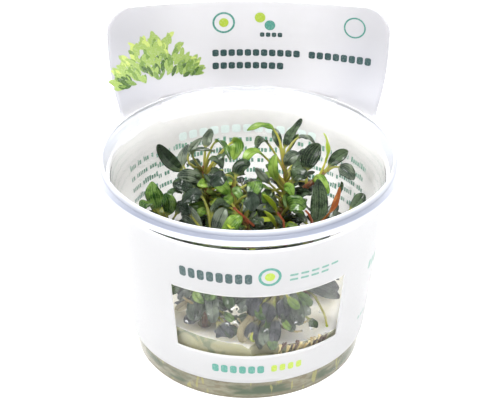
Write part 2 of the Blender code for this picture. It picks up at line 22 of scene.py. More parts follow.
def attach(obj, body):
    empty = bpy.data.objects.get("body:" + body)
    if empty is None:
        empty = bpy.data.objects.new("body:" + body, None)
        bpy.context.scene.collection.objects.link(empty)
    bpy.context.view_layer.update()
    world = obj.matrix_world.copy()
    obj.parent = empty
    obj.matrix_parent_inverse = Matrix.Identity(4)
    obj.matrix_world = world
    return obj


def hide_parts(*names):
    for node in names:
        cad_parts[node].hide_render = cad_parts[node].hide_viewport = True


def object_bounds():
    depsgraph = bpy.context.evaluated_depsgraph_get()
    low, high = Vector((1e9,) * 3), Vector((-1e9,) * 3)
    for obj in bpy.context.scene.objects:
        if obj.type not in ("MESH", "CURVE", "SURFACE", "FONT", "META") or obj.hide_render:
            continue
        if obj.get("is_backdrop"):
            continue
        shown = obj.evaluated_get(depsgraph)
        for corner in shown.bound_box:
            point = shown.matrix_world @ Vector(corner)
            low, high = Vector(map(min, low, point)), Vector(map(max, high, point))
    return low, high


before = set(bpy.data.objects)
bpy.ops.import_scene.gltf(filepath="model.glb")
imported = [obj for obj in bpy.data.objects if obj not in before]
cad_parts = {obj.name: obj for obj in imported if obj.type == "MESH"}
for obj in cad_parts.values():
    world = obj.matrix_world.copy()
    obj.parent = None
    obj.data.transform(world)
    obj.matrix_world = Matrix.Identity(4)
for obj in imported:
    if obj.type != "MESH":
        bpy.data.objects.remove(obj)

LOG = logging.getLogger("cup")
MM = 0.001
Point = tuple[float, float, float]
Colour = tuple[float, float, float]
PlanePoint = tuple[float, float]
Span = tuple[float, float]


def on_ring(radius: float, degrees: float, height: float) -> Vector:
    """Point on a level ring, at an angle from the back."""
    turned = math.radians(degrees)
    return Vector((radius * math.sin(turned), radius * math.cos(turned), height))


def from_back(degrees: float) -> float:
    """The same angle, between -180 and 180."""
    return (degrees + 180.0) % 360.0 - 180.0


def ease(value: float) -> float:
    """Smooth step from 0 to 1."""
    t = min(max(value, 0.0), 1.0)
    return t * t * (3.0 - 2.0 * t)


def mix(low: float, high: float, share: float) -> float:
    """Blend two numbers by a share."""
    return low + (high - low) * share


def link(name: str, data: bpy.types.ID) -> bpy.types.Object:
    """Put a mesh, a lamp or a camera into the scene.

    Args:
        name: its name.
        data: what it shows.

    Returns:
        The object.
    """
    made = bpy.data.objects.new(name, data)
    bpy.context.scene.collection.objects.link(made)
    return made


def to_object(shape: bmesh.types.BMesh, name: str) -> bpy.types.Object:
    """Turn a mesh in millimetres, which is used up, into an object in metres.

    Args:
        shape: the mesh.
        name: name of the object.

    Returns:
        The object.
    """
    bmesh.ops.scale(shape, vec=(MM, MM, MM), verts=shape.verts)
    mesh = bpy.data.meshes.new(name)
    shape.to_mesh(mesh)
    shape.free()
    return link(name, mesh)


def seat(shape: bmesh.types.BMesh, name: str, finishes: Sequence[bpy.types.Material], slot: str,
         stands_for: Sequence[str] = (), crease_deg: float = 45.0) -> bpy.types.Object:
    """Turn a mesh in millimetres into a shown piece that rides on the frame.

    Args:
        shape: the mesh, which is used up.
        name: name of the piece.
        finishes: its materials, in the order of its faces' numbers.
        slot: material slot of the record; not used.
        stands_for: nodes of the frame that it replaces.
        crease_deg: edges sharper than this stay crisp.

    Returns:
        The piece.
    """
    piece = to_object(shape, name)
    piece.data.shade_smooth()
    piece.data.set_sharp_from_angle(angle=math.radians(crease_deg))
    for finish in finishes:
        piece.data.materials.append(finish)
    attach(piece, "root")
    if stands_for:
        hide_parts(*stands_for)
    LOG.info("%s: %d faces", name, len(piece.data.polygons))
    return piece


def bridge(shape: bmesh.types.BMesh, lower: Sequence[bmesh.types.BMVert],
           upper: Sequence[bmesh.types.BMVert], finish: int = 0) -> list[bmesh.types.BMFace]:
    """Close the band between two rings of equal count.

    Args:
        shape: mesh that holds the rings.
        lower: first ring, clockwise seen against its direction of travel.
        upper: next ring.
        finish: number of the finish of the new faces.

    Returns:
        The new faces.
    """
    faces = []
    for k in range(len(lower)):
        n = (k + 1) % len(lower)
        face = shape.faces.new((lower[n], lower[k], upper[k], upper[n]))
        face.material_index = finish
        faces.append(face)
    return faces


def tube(shape: bmesh.types.BMesh, sections: Sequence[Sequence[Vector]], finish: int = 0) -> None:
    """Skin a row of sections and close both its ends.

    Args:
        shape: mesh that takes it.
        sections: rings of points, of equal count.
        finish: number of the finish of its faces.
    """
    rings = [[shape.verts.new(point) for point in section] for section in sections]
    for lower, upper in zip(rings, rings[1:]):
        bridge(shape, lower, upper, finish)
    for cap in (rings[0], rings[-1][::-1]):
        shape.faces.new(cap).material_index = finish


def turn(profile: Sequence[PlanePoint], sides: int,
         lift: Callable[[Vector], float] = lambda point: point.z) -> bmesh.types.BMesh:
    """Turn an outline about the cup's axis.

    Args:
        profile: points of radius and height, from the axis below to the axis above.
        sides: points round each ring.
        lift: gives the height of each point.

    Returns:
        The closed mesh.
    """
    shape = bmesh.new()
    rings = []
    for radius, height in profile[1:-1]:
        ring = [on_ring(radius, 360.0 * k / sides, height) for k in range(sides)]
        rings.append([shape.verts.new((p.x, p.y, lift(p))) for p in ring])
    for lower, upper in zip(rings, rings[1:]):
        bridge(shape, lower, upper)
    ends = [shape.verts.new((0.0, 0.0, lift(Vector((0.0, 0.0, profile[i][1]))))) for i in (0, -1)]
    for k in range(sides):
        n = (k + 1) % sides
        shape.faces.new((rings[0][k], rings[0][n], ends[0]))
        shape.faces.new((rings[-1][n], rings[-1][k], ends[1]))
    return shape


@dataclass(frozen=True)
class Value:
    """What a node of a shader gives, combined with another value or a number by +, - and *."""

    shader: Shader
    socket: bpy.types.NodeSocket

    def __add__(self, other: object) -> Value:
        """Sum of both."""
        return self.shader.math("ADD", self, other)

    def __sub__(self, other: object) -> Value:
        """This less the other."""
        return self.shader.math("SUBTRACT", self, other)

    def __rsub__(self, other: object) -> Value:
        """The other less this."""
        return self.shader.math("SUBTRACT", other, self)

    def __mul__(self, other: object) -> Value:
        """Product of both."""
        return self.shader.math("MULTIPLY", self, other)


class Shader:
    """Node graph of one procedural finish."""

    def __init__(self, name: str) -> None:
        """Start a material with a Principled shader.

        Args:
            name: name of the material.
        """
        self.material = bpy.data.materials.new(name)
        self.material.use_nodes = True
        self.tree = self.material.node_tree
        self.surface = self.tree.nodes["Principled BSDF"]
        self.output = self.tree.nodes["Material Output"]

    def set(self, **values: object) -> None:
        """Set sockets of the Principled shader, with spaces written as underscores."""
        for name, value in values.items():
            self.feed(self.surface.inputs[name.replace("_", " ")], value)

    def feed(self, socket: bpy.types.NodeSocket, value: object) -> None:
        """Link a value into a socket, or set the socket's constant.

        Args:
            socket: the input.
            value: what another node gives, or a constant.
        """
        if isinstance(value, Value):
            self.tree.links.new(value.socket, socket)
        else:
            socket.default_value = (*value, 1.0) if socket.type == "RGBA" else value

    def add(self, kind: str, output: str, inputs: dict[str | int, object] | None = None,
            **settings: object) -> Value:
        """Add a node.

        Args:
            kind: type name of the node, without its ShaderNode prefix.
            output: name of the output that is used.
            inputs: value or source of each input, by name or number.
            settings: attributes of the node.

        Returns:
            What the output gives.
        """
        node = self.tree.nodes.new("ShaderNode" + kind)
        for name, value in settings.items():
            setattr(node, name, value)
        for name, value in (inputs or {}).items():
            self.feed(node.inputs[name], value)
        return Value(self, node.outputs[output])

    def math(self, operation: str, first: object, second: object = 0.0) -> Value:
        """Combine two numbers."""
        return self.add("Math", "Value", {0: first, 1: second}, operation=operation)

    def vector(self, operation: str, output: str, first: object, second: object = (0.0, 0.0, 0.0)) -> Value:
        """Combine two vectors into the output of that name."""
        return self.add("VectorMath", output, {0: first, 1: second}, operation=operation)

    def axis(self, name: str, vector: Value | None = None) -> Value:
        """One axis of a vector, or of the point's own place in the piece."""
        return self.add("SeparateXYZ", name, {0: vector or self.add("TexCoord", "Object")})

    def blend(self, share: object, first: object, second: object) -> Value:
        """Mix two colours by a share.

        Args:
            share: share of the second.
            first: first colour.
            second: second colour.

        Returns:
            The mixed colour.
        """
        node = self.tree.nodes.new("ShaderNodeMix")
        node.data_type = "RGBA"
        for number, value in ((0, share), (6, first), (7, second)):
            self.feed(node.inputs[number], value)
        return Value(self, node.outputs[2])

    def ramp(self, value: Value, low: float, high: float, start: float = 0.0, end: float = 1.0) -> Value:
        """Smoothly map a value from one range to another.

        Args:
            value: the value.
            low: start of its range.
            high: end of its range.
            start: result at the start.
            end: result at the end.

        Returns:
            The result.
        """
        return self.add("MapRange", "Result", {"Value": value, "From Min": low, "From Max": high,
                                               "To Min": start, "To Max": end},
                        interpolation_type="SMOOTHSTEP")

    def clouds(self, scale: float, detail: float = 3.0, distortion: float = 0.0, flat: float = 1.0) -> Value:
        """Noise that is fixed to the piece, pressed flat where flat is above 1 and drawn up below 1.

        Args:
            scale: how fine it is.
            detail: how many finer layers it has.
            distortion: how much it is twisted.
            flat: factor on heights before it is drawn.

        Returns:
            A value between 0 and 1.
        """
        place = self.add("TexCoord", "Object")
        if flat != 1.0:
            place = self.vector("MULTIPLY", "Vector", place, (1.0, 1.0, flat))
        return self.add("TexNoise", "Fac", {"Vector": place, "Scale": scale, "Detail": detail,
                                            "Distortion": distortion})

    def raise_by(self, height: Value, strength: float, distance: float) -> None:
        """Feed a height into the shader's normal."""
        self.set(Normal=self.add("Bump", "Normal", {"Height": height, "Strength": strength,
                                                    "Distance": distance}))

    def absorb(self, colour: Colour, density: float) -> None:
        """Tint the light that goes through the piece."""
        tint = self.add("VolumeAbsorption", "Volume", {"Color": colour, "Density": density})
        self.feed(self.output.inputs["Volume"], tint)


@dataclass(frozen=True)
class ClearPlastic:
    """Clear moulded plastic, satin and milky on its rim, stained by the gel that wets it near the foot. It
    also carries painted light: painted shade in the rim's grey-lilac tone, a blue-grey painted reflection on
    the flange, a milky front lip as a painted highlight, a painted shadow line under the film's edge, and a
    dark foot that is the gel's colour seen through it and a painted contact shadow.
    """

    body: Colour = (0.98, 0.98, 0.985)
    # rim: milky frosting with a grey-lilac painted shade, weaker towards the back by rim_at_back
    rim: Colour = (0.76, 0.775, 0.82)
    # band: blue-grey painted reflection of the surroundings on the flange
    band: Colour = (0.25, 0.27, 0.33)
    wet: Colour = (0.36, 0.34, 0.25)
    brown: Colour = (0.22, 0.19, 0.12)
    patches: Colour = (0.10, 0.14, 0.09)
    streaks: Colour = (0.50, 0.47, 0.16)
    # foot: the gel's colour seen through the foot, darkened as a painted contact shadow
    foot: Colour = (0.21, 0.19, 0.13)
    # edge: painted shadow, a thin dark line under the film's lower edge
    edge: Colour = (0.17, 0.18, 0.19)
    tint: Colour = (0.86, 0.89, 0.95)
    density: float = 40.0
    ior: float = 1.32
    rim_cover: float = 0.52
    reflection_band_cover: float = 0.40
    wet_cover: float = 0.62
    lip_cover: float = 0.34
    # lip_cover: the lip is made milky only at the front, a painted highlight on its top
    rim_at_back: float = 0.42
    rim_roughness: float = 0.24
    reflection_band_at_sides: float = 0.08
    band_inner: Span = (0.0478, 0.0487)
    band_outer: Span = (0.0499, 0.0507)
    band_rise: Span = (0.0690, 0.0697)
    rim_rise: Span = (0.0660, 0.0675)
    lip_rise: Span = (0.0705, 0.0712)
    foot_rise: Span = (0.0010, 0.0016)
    wet_rise: Span = (0.0080, 0.0083)
    edge_rise: Span = (0.0074, 0.0078)
    patch_low: Span = (0.0016, 0.0030)
    patch_high: Span = (0.0056, 0.0070)
    front: Span = (-0.030, -0.010)
    flange_front: Span = (-0.040, 0.0)
    back: Span = (0.004, 0.036)
    flat: float = 2.6
    drawn_up: float = 0.22

    def reflection_band_share(self, shader: Shader) -> Value:
        """Share of the painted reflection, a cool blue-grey band on the flange, strongest towards the front.

        Args:
            shader: graph of the finish.

        Returns:
            The share.
        """
        place = shader.add("NewGeometry", "Position")
        level = shader.vector("MULTIPLY", "Vector", place, (1.0, 1.0, 0.0))
        radius = shader.vector("LENGTH", "Value", level)
        across = shader.ramp(radius, *self.band_inner) * shader.ramp(radius, *self.band_outer, 1.0, 0.0)
        front = shader.ramp(shader.axis("Y", place), *self.flange_front, 1.0, self.reflection_band_at_sides)
        return across * front * shader.ramp(shader.axis("Z", place), *self.band_rise)

    def wet_colour(self, shader: Shader) -> Value:
        """Colour of the gel that shows at the wetted wall, with dark patches and upright streaks, and a
        painted shadow line under the film's lower edge.

        Args:
            shader: graph of the finish.

        Returns:
            The colour.
        """
        height = shader.axis("Z")
        patches = shader.ramp(shader.clouds(90.0, 3.0, flat=self.flat), 0.36, 0.62, 0.0, 0.95)
        patches = patches * (shader.ramp(height, *self.patch_high, 1.0, 0.15)
                             * shader.ramp(height, *self.patch_low, 0.3, 1.0))
        brown = shader.ramp(shader.clouds(330.0, 3.0, flat=self.flat), 0.40, 0.66, 0.0, 0.75)
        streaks = shader.ramp(shader.clouds(330.0, 2.0, flat=self.drawn_up), 0.61, 0.66, 0.0, 0.6)
        # painted shadow line just below the film's lower edge
        edge = shader.ramp(height, *self.edge_rise, 0.0, 0.75)
        colour = self.wet
        for share, tone in ((brown, self.brown), (patches, self.patches), (streaks, self.streaks),
                            (edge, self.edge)):
            colour = shader.blend(share, colour, tone)
        return colour

    def make(self) -> bpy.types.Material:
        """Build the material.

        Returns:
            The material.
        """
        shader = Shader("clear_plastic")
        height, depth = shader.axis("Z"), shader.axis("Y")
        # rim mask: real frosting for the roughness, and painted shade for the grey-lilac tone, stronger at the
        # front than at the back
        rim = shader.ramp(height, *self.rim_rise) * shader.ramp(depth, *self.back, 1.0, self.rim_at_back)
        # lip: painted highlight, the front lip made milky so that it reads white
        lip = shader.ramp(height, *self.lip_rise) * shader.ramp(depth, *self.front, self.lip_cover, 0.0)
        wet = shader.ramp(height, *self.wet_rise, 1.0, 0.0)
        # foot: gel colour and painted contact shadow at the bottom of the wall
        foot = shader.ramp(height, *self.foot_rise, 1.0, 0.0)
        # painted reflection: the blue-grey band on the flange
        band = self.reflection_band_share(shader)
        colour = shader.blend(wet, self.body, self.wet_colour(shader))
        for share, tone in ((foot, self.foot), (rim, self.rim), (band, self.band)):
            colour = shader.blend(share, colour, tone)
        cover = rim * self.rim_cover + band * self.reflection_band_cover + wet * self.wet_cover + lip
        smooth = shader.ramp(shader.clouds(90.0, 2.0), 0.3, 0.75, 0.003, 0.015)
        shader.set(Base_Color=colour, IOR=self.ior, Transmission_Weight=1.0 - cover,
                   Roughness=smooth + rim * self.rim_roughness)
        shader.absorb(self.tint, self.density)
        return shader.material


@dataclass(frozen=True)
class WhiteFilm:
    """White printed film, satin, that glows with the light behind it. Its outer face, inner face and tag are
    lit and shaded copies of one white: the tag's cooler tone and darker edges are painted shade, and the inner
    face has painted light low down and painted shade towards its top.
    """

    # sleeve, tag and inner are lit and shaded copies of one white film: their differences are painted light
    # and shade
    sleeve: Colour = (0.48, 0.48, 0.49)
    tag: Colour = (0.56, 0.555, 0.575)
    # painted shade on the tag's sides, strongest low down
    tag_edge_shade: Colour = (0.38, 0.38, 0.41)
    # inner face: lighter low down as painted light, with painted shade towards its top
    inner: Colour = (0.78, 0.77, 0.735)
    inner_top_shade: Colour = (0.42, 0.415, 0.40)
    inner_rise: Span = (0.040, 0.060)
    tag_rise: Span = (0.062, 0.072)
    edge_rise: Span = (0.078, 0.104)
    edge_aside: Span = (0.018, 0.046)

    def make(self) -> bpy.types.Material:
        """Build the material.

        Returns:
            The material.
        """
        shader = Shader("white_film")
        height = shader.axis("Z")
        grain = shader.clouds(1400.0, 2.0)
        place = shader.add("NewGeometry", "Position")
        outward = shader.vector("DOT_PRODUCT", "Value", shader.add("NewGeometry", "Normal"), place)
        # inner face: painted light low down, painted shade towards the top
        inner = shader.blend(shader.ramp(height, *self.inner_rise), self.inner, self.inner_top_shade)
        sleeve = shader.blend(shader.math("LESS_THAN", outward, 0.0), self.sleeve, inner)
        aside = shader.math("ABSOLUTE", shader.axis("X", place))
        # painted shade on the tag's sides and low corners
        edge = shader.ramp(aside, *self.edge_aside) * shader.ramp(height, *self.edge_rise, 1.0, 0.55)
        tag = shader.blend(edge, self.tag, self.tag_edge_shade)
        uneven = shader.ramp(shader.clouds(28.0, 2.0), 0.3, 0.7, -0.12, 0.12)
        # tag share: the tag's cooler colour is painted shade
        share = shader.ramp(height, *self.tag_rise) + uneven
        shader.set(Base_Color=shader.blend(share, sleeve, tag), IOR=1.45, Subsurface_Weight=0.75,
                   Roughness=shader.ramp(grain, 0.3, 0.7, 0.34, 0.46),
                   Subsurface_Radius=(1.0, 1.0, 1.0), Subsurface_Scale=0.0012)
        shader.raise_by(grain, 0.04, 0.0001)
        return shader.material


@dataclass(frozen=True)
class Ink:
    """Printing ink on the film, a little uneven."""

    name: str
    colour: Colour
    worn: float = 0.12

    def make(self) -> bpy.types.Material:
        """Build the material.

        Returns:
            The material.
        """
        shader = Shader(self.name)
        speckle = shader.clouds(1800.0, 4.0)
        pale = tuple(mix(channel, 0.85, self.worn) for channel in self.colour)
        shader.set(Base_Color=shader.blend(shader.ramp(speckle, 0.45, 0.7), self.colour, pale),
                   Roughness=shader.ramp(speckle, 0.3, 0.7, 0.30, 0.45))
        return shader.material


@dataclass(frozen=True)
class ClearGel:
    """Set nutrient gel, a little cloudy, yellower where it lies against the wall. Its faces that look up are
    paler, partly painted light from above, and it is darker olive towards the bottom, partly painted shade.
    """

    tilt: float
    # top, haze: paler colours of faces that look up, partly painted light from above
    top: Colour = (0.88, 0.85, 0.77)
    haze: Colour = (0.80, 0.76, 0.63)
    side: Colour = (0.50, 0.48, 0.28)
    olive: Colour = (0.24, 0.28, 0.16)
    # bottom: darker olive low down, the gel's colour there and painted shade
    bottom: Colour = (0.46, 0.45, 0.33)
    colour: Colour = (0.90, 0.87, 0.68)
    density: float = 10.0
    least_clear: float = 0.12
    more_clear: float = 0.26
    bottom_rise: Span = (0.004, 0.010)
    top_rise: Span = (0.0210, 0.0221)

    def make(self) -> bpy.types.Material:
        """Build the material.

        Returns:
            The material.
        """
        shader = Shader("nutrient_gel")
        cloud = shader.clouds(70.0, 4.0, 0.6)
        height = shader.axis("Z")
        # deep: darker towards the bottom, the gel's colour there and painted shade
        deep = shader.ramp(height, *self.bottom_rise, 1.0, 0.0) + shader.ramp(cloud, 0.3, 0.7, -0.25, 0.25)
        level = height + shader.axis("X") * self.tilt
        upright = shader.axis("Z", shader.add("NewGeometry", "Normal"))
        # low: faces below the top level or not looking up; the paler top on the rest is partly painted light
        low = shader.math("MAXIMUM", shader.ramp(level, *self.top_rise, 1.0, 0.0),
                          shader.ramp(upright, 0.45, 0.9, 1.0, 0.0))
        swirl = shader.ramp(shader.clouds(120.0, 3.0, 1.6), 0.48, 0.62)
        body = shader.blend(shader.ramp(cloud, 0.35, 0.7), self.top, self.haze)
        body = shader.blend(low, body, shader.blend(swirl, self.side, self.olive))
        shader.set(Base_Color=shader.blend(deep, body, self.bottom), IOR=1.34,
                   Transmission_Weight=low * self.more_clear + self.least_clear,
                   Roughness=shader.ramp(cloud, 0.3, 0.7, 0.06, 0.14),
                   Subsurface_Weight=1.0, Subsurface_Radius=(1.0, 0.95, 0.75), Subsurface_Scale=0.008)
        shader.raise_by(cloud, 0.25, 0.0012)
        shader.absorb(self.colour, self.density)
        return shader.material


@dataclass(frozen=True)
class Water:
    """Clear water."""

    colour: Colour = (0.96, 0.97, 0.98)
    ior: float = 1.33
    roughness: float = 0.03

    def make(self) -> bpy.types.Material:
        """Build the material.

        Returns:
            The material.
        """
        shader = Shader("water")
        shader.set(Base_Color=self.colour, IOR=self.ior, Transmission_Weight=1.0,
                   Roughness=shader.ramp(shader.clouds(900.0), 0.3, 0.7, 0.0, self.roughness))
        return shader.material


@dataclass(frozen=True)
class StemSkin:
    """Skin of a rhizome: olive and brown, ringed by old leaf scars."""

    old: Colour = (0.20, 0.050, 0.020)
    young: Colour = (0.26, 0.20, 0.040)
    scar: Colour = (0.05, 0.03, 0.015)

    def make(self) -> bpy.types.Material:
        """Build the material.

        Returns:
            The material.
        """
        shader = Shader("rhizome_skin")
        fine = shader.clouds(1500.0, 3.0)
        base = shader.blend(shader.ramp(shader.clouds(260.0, 4.0, 0.5), 0.42, 0.66), self.old, self.young)
        shader.set(Base_Color=shader.blend(shader.ramp(fine, 0.3, 0.8), base, self.scar),
                   Roughness=shader.ramp(fine, 0.3, 0.7, 0.32, 0.6))
        shader.raise_by(fine, 0.5, 0.0003)
        return shader.material


@dataclass(frozen=True)
class LeafSkin:
    """Skin of a leaf: blade with fine lines along it, pale patches that are partly painted sheen, paler
    underside, reddish foot of the stalk, and painted shade that deepens low in the cup and is weaker near the
    front wall.
    """

    name: str
    blade: Colour
    # bright: colour of the pale vein lines and of patches that are partly painted sheen
    bright: Colour
    under: Colour
    stalk: Colour
    roughness: float = 0.28
    coat: float = 0.25
    red: Colour = (0.24, 0.07, 0.02)
    # shade, shade_rise, shade_front: painted shade that deepens low in the cup and is weaker near the front
    # wall
    shade: Colour = (0.004, 0.007, 0.003)
    shade_rise: Span = (0.034, 0.057)
    shade_front: Span = (-0.035, -0.025)
    lines: float = 24.0
    waver: float = 7.0
    streak_share: float = 0.62
    rib_share: float = 0.5
    margin_share: float = 0.7
    under_share: float = 0.75
    grain_depth: float = 0.35
    line_depth: float = 0.5
    rib_depth: float = 0.8
    sheen: float = 0.19
    coat_roughness: float = 0.14

    def make(self) -> bpy.types.Material:
        """Build the material.

        Returns:
            The material.
        """
        shader = Shader(f"leaf_{self.name}_skin")
        place = shader.add("UVMap", "UV", uv_map="leaf")
        side, along = shader.axis("X", place), shader.axis("Y", place)
        across = shader.math("ABSOLUTE", shader.math("FRACT", side) - 0.5) * 2.0
        below = shader.math("GREATER_THAN", side, 1.0)
        patch = shader.clouds(230.0, 3.0, 0.5)
        fine = shader.clouds(2400.0, 2.0)
        line = shader.ramp(shader.math("SINE", across * self.lines + patch * self.waver), 0.2, 0.9)
        rib = shader.ramp(across, 0.02, 0.10, 1.0, 0.0)
        margin = shader.ramp(across, 0.86, 0.99)
        streak = line * shader.ramp(fine, 0.3, 0.65, 0.35, 0.8)
        # pale patches: mottling and partly painted sheen
        colour = shader.blend(shader.ramp(patch, 0.40, 0.62, 0.0, 0.6), self.blade, self.bright)
        for share, tone in ((streak * self.streak_share, self.bright), (rib * self.rib_share, self.blade),
                            (margin * self.margin_share, self.blade),
                            (below * self.under_share, self.under)):
            colour = shader.blend(share, colour, tone)
        stalk = shader.blend(shader.ramp(along, -1.0, -0.65, 0.5, 0.0), self.stalk, self.red)
        colour = shader.blend(shader.ramp(along, -0.05, 0.16, 1.0, 0.0), colour, stalk)
        # painted shade: darker low in the cup, less near the front wall
        painted_shade_share = (shader.ramp(shader.axis("Z"), *self.shade_rise, 0.95, 0.0)
                 * shader.ramp(shader.axis("Y"), *self.shade_front, 0.35, 1.0))
        shader.set(Base_Color=shader.blend(painted_shade_share, colour, self.shade), Coat_Weight=self.coat,
                   Coat_Roughness=self.coat_roughness, Specular_IOR_Level=self.sheen,
                   Roughness=shader.ramp(fine, 0.3, 0.7, self.roughness - 0.06, self.roughness + 0.12))
        relief = fine * self.grain_depth - line * self.line_depth - rib * self.rib_depth
        shader.raise_by(relief, 0.7, 0.00030)
        return shader.material


@dataclass(frozen=True)
class RootSkin:
    """Skin of a root."""

    name: str
    pale: Colour
    dark: Colour

    def make(self) -> bpy.types.Material:
        """Build the material.

        Returns:
            The material.
        """
        shader = Shader(f"root_{self.name}")
        patch = shader.ramp(shader.clouds(300.0, 2.0), 0.4, 0.6)
        shader.set(Base_Color=shader.blend(patch, self.pale, self.dark), Roughness=0.5)
        return shader.material


@dataclass(frozen=True)
class PaleFloor:
    """Plain pale floor that gives off a little light, so that it is as white as the photograph's ground."""

    colour: Colour = (0.93, 0.93, 0.93)
    roughness: float = 0.6
    glow: float = 0.30

    def make(self) -> bpy.types.Material:
        """Build the material.

        Returns:
            The material.
        """
        shader = Shader("pale_floor")
        shader.set(Base_Color=self.colour, Roughness=self.roughness, Emission_Color=(1.0, 1.0, 1.0),
                   Emission_Strength=self.glow)
        return shader.material


class Green(Enum):
    """Kinds of leaf, by age and colour. The slots of the record hold those that the larger leaves have."""

    DARK = LeafSkin("dark", (0.005, 0.014, 0.006), (0.110, 0.165, 0.080), (0.165, 0.24, 0.080),
                    (0.40, 0.41, 0.08), 0.26, 0.38)
    DEEP = LeafSkin("deep", (0.005, 0.014, 0.006), (0.045, 0.070, 0.045), (0.060, 0.095, 0.040),
                    (0.40, 0.41, 0.08), 0.24, 0.50)
    GREEN = LeafSkin("green", (0.012, 0.050, 0.006), (0.195, 0.335, 0.065), (0.24, 0.37, 0.075),
                     (0.46, 0.47, 0.09), 0.28, 0.55)
    GREY = LeafSkin("grey", (0.018, 0.034, 0.022), (0.26, 0.31, 0.215), (0.25, 0.32, 0.145),
                    (0.42, 0.42, 0.10), 0.32, 0.55)
    SLATE = LeafSkin("slate", (0.008, 0.011, 0.015), (0.115, 0.125, 0.135), (0.13, 0.15, 0.15),
                     (0.34, 0.32, 0.12), 0.34, 0.18)
    LIGHT = LeafSkin("light", (0.060, 0.150, 0.012), (0.33, 0.47, 0.085), (0.36, 0.50, 0.12),
                     (0.50, 0.49, 0.09), 0.32)
    LIME = LeafSkin("lime", (0.30, 0.42, 0.02), (0.54, 0.62, 0.07), (0.58, 0.64, 0.14),
                    (0.54, 0.51, 0.08), 0.32)
    ORANGE = LeafSkin("orange", (0.32, 0.085, 0.02), (0.56, 0.21, 0.05), (0.52, 0.21, 0.06),
                      (0.34, 0.12, 0.025), 0.35)
    RED = LeafSkin("red", (0.15, 0.035, 0.02), (0.33, 0.10, 0.05), (0.36, 0.14, 0.06),
                   (0.34, 0.075, 0.025), 0.35)
    OLD = LeafSkin("old", (0.30, 0.25, 0.13), (0.50, 0.45, 0.27), (0.52, 0.48, 0.30),
                   (0.46, 0.36, 0.16), 0.35)

    @property
    def slot(self) -> str:
        """Material slot of the record."""
        return f"leaf_{self.value.name}"


DARK, DEEP, GREEN, GREY, SLATE, LIGHT, LIME, ORANGE, RED, OLD = Green


@dataclass
class Cup:
    """Clear turned cup: foot ring, tapered body, stepped collar, flange and raised lip."""

    sides: int = 192
    wall: float = 0.7
    taper: float = 0.1022
    body_radius: float = 39.25
    body_top: float = 64.8
    floor: float = 1.7
    foot_outer: float = 38.4
    foot_inner: float = 36.4
    collar_radius: float = 47.2
    collar_foot: float = 66.2
    flange_radius: float = 51.0
    flange_underside: float = 68.4
    flange_top: float = 70.0
    lip_radius: float = 47.3
    lip_height: float = 72.2

    def wall_radius(self, height: float) -> float:
        """Outer radius of the tapered body at a height."""
        return self.body_radius + self.taper * height

    def profile(self) -> list[PlanePoint]:
        """Outline of the section, from the axis below round the outside to the axis above.

        Returns:
            Points of radius and height.
        """
        top = self.wall_radius(self.body_top)
        lip = self.lip_radius
        return [
            (0.0, 0.9), (self.foot_inner - 0.9, 0.9), (self.foot_inner - 0.4, 0.75), (self.foot_inner, 0.15),
            (self.foot_inner + 0.15, 0.0), (self.foot_outer - 0.1, 0.0), (self.foot_outer + 0.35, 0.12),
            (self.wall_radius(0.7) - 0.12, 0.5), (self.wall_radius(1.2) - 0.02, 1.2),
            (self.wall_radius(7.0), 7.0), (self.wall_radius(22.0), 22.0), (self.wall_radius(44.0), 44.0),
            (top - 0.02, self.body_top - 0.2), (top + 0.12, self.body_top + 0.15),
            (self.collar_radius - 0.15, self.collar_foot - 0.1), (self.collar_radius, self.collar_foot + 0.2),
            (self.collar_radius + 0.28, self.flange_underside - 0.15),
            (self.collar_radius + 0.5, self.flange_underside),
            (self.flange_radius - 0.25, self.flange_underside),
            (self.flange_radius, self.flange_underside + 0.25),
            (self.flange_radius - 0.05, self.flange_top - 0.35),
            (self.flange_radius - 0.3, self.flange_top - 0.05), (lip + 1.9, self.flange_top + 0.1),
            (lip + 1.35, self.flange_top + 0.45), (lip + 1.15, self.flange_top + 1.0),
            (lip + 0.95, self.lip_height - 0.4), (lip + 0.75, self.lip_height - 0.1),
            (lip + 0.45, self.lip_height), (lip + 0.12, self.lip_height - 0.12), (lip, self.lip_height - 0.45),
            (self.collar_radius - self.wall + 0.1, self.collar_foot + 1.6),
            (self.collar_radius - self.wall, self.collar_foot + 0.8),
            (self.collar_radius - self.wall - 0.2, self.collar_foot + 0.55),
            (top - self.wall + 0.12, self.body_top + 0.6), (top - self.wall, self.body_top + 0.3),
            (self.wall_radius(44.0) - self.wall, 44.0), (self.wall_radius(22.0) - self.wall, 22.0),
            (self.wall_radius(self.floor) - self.wall, self.floor + 0.7),
            (self.wall_radius(self.floor) - self.wall - 0.3, self.floor + 0.2),
            (self.wall_radius(self.floor) - self.wall - 0.9, self.floor), (0.0, self.floor),
        ]

    def build(self) -> None:
        """Turn the cup and dress it."""
        cup = seat(turn(self.profile(), self.sides), "clear_cup", [ClearPlastic().make()], "clear_plastic",
                   ["cup"], 28.0)
        cup.visible_shadow = False


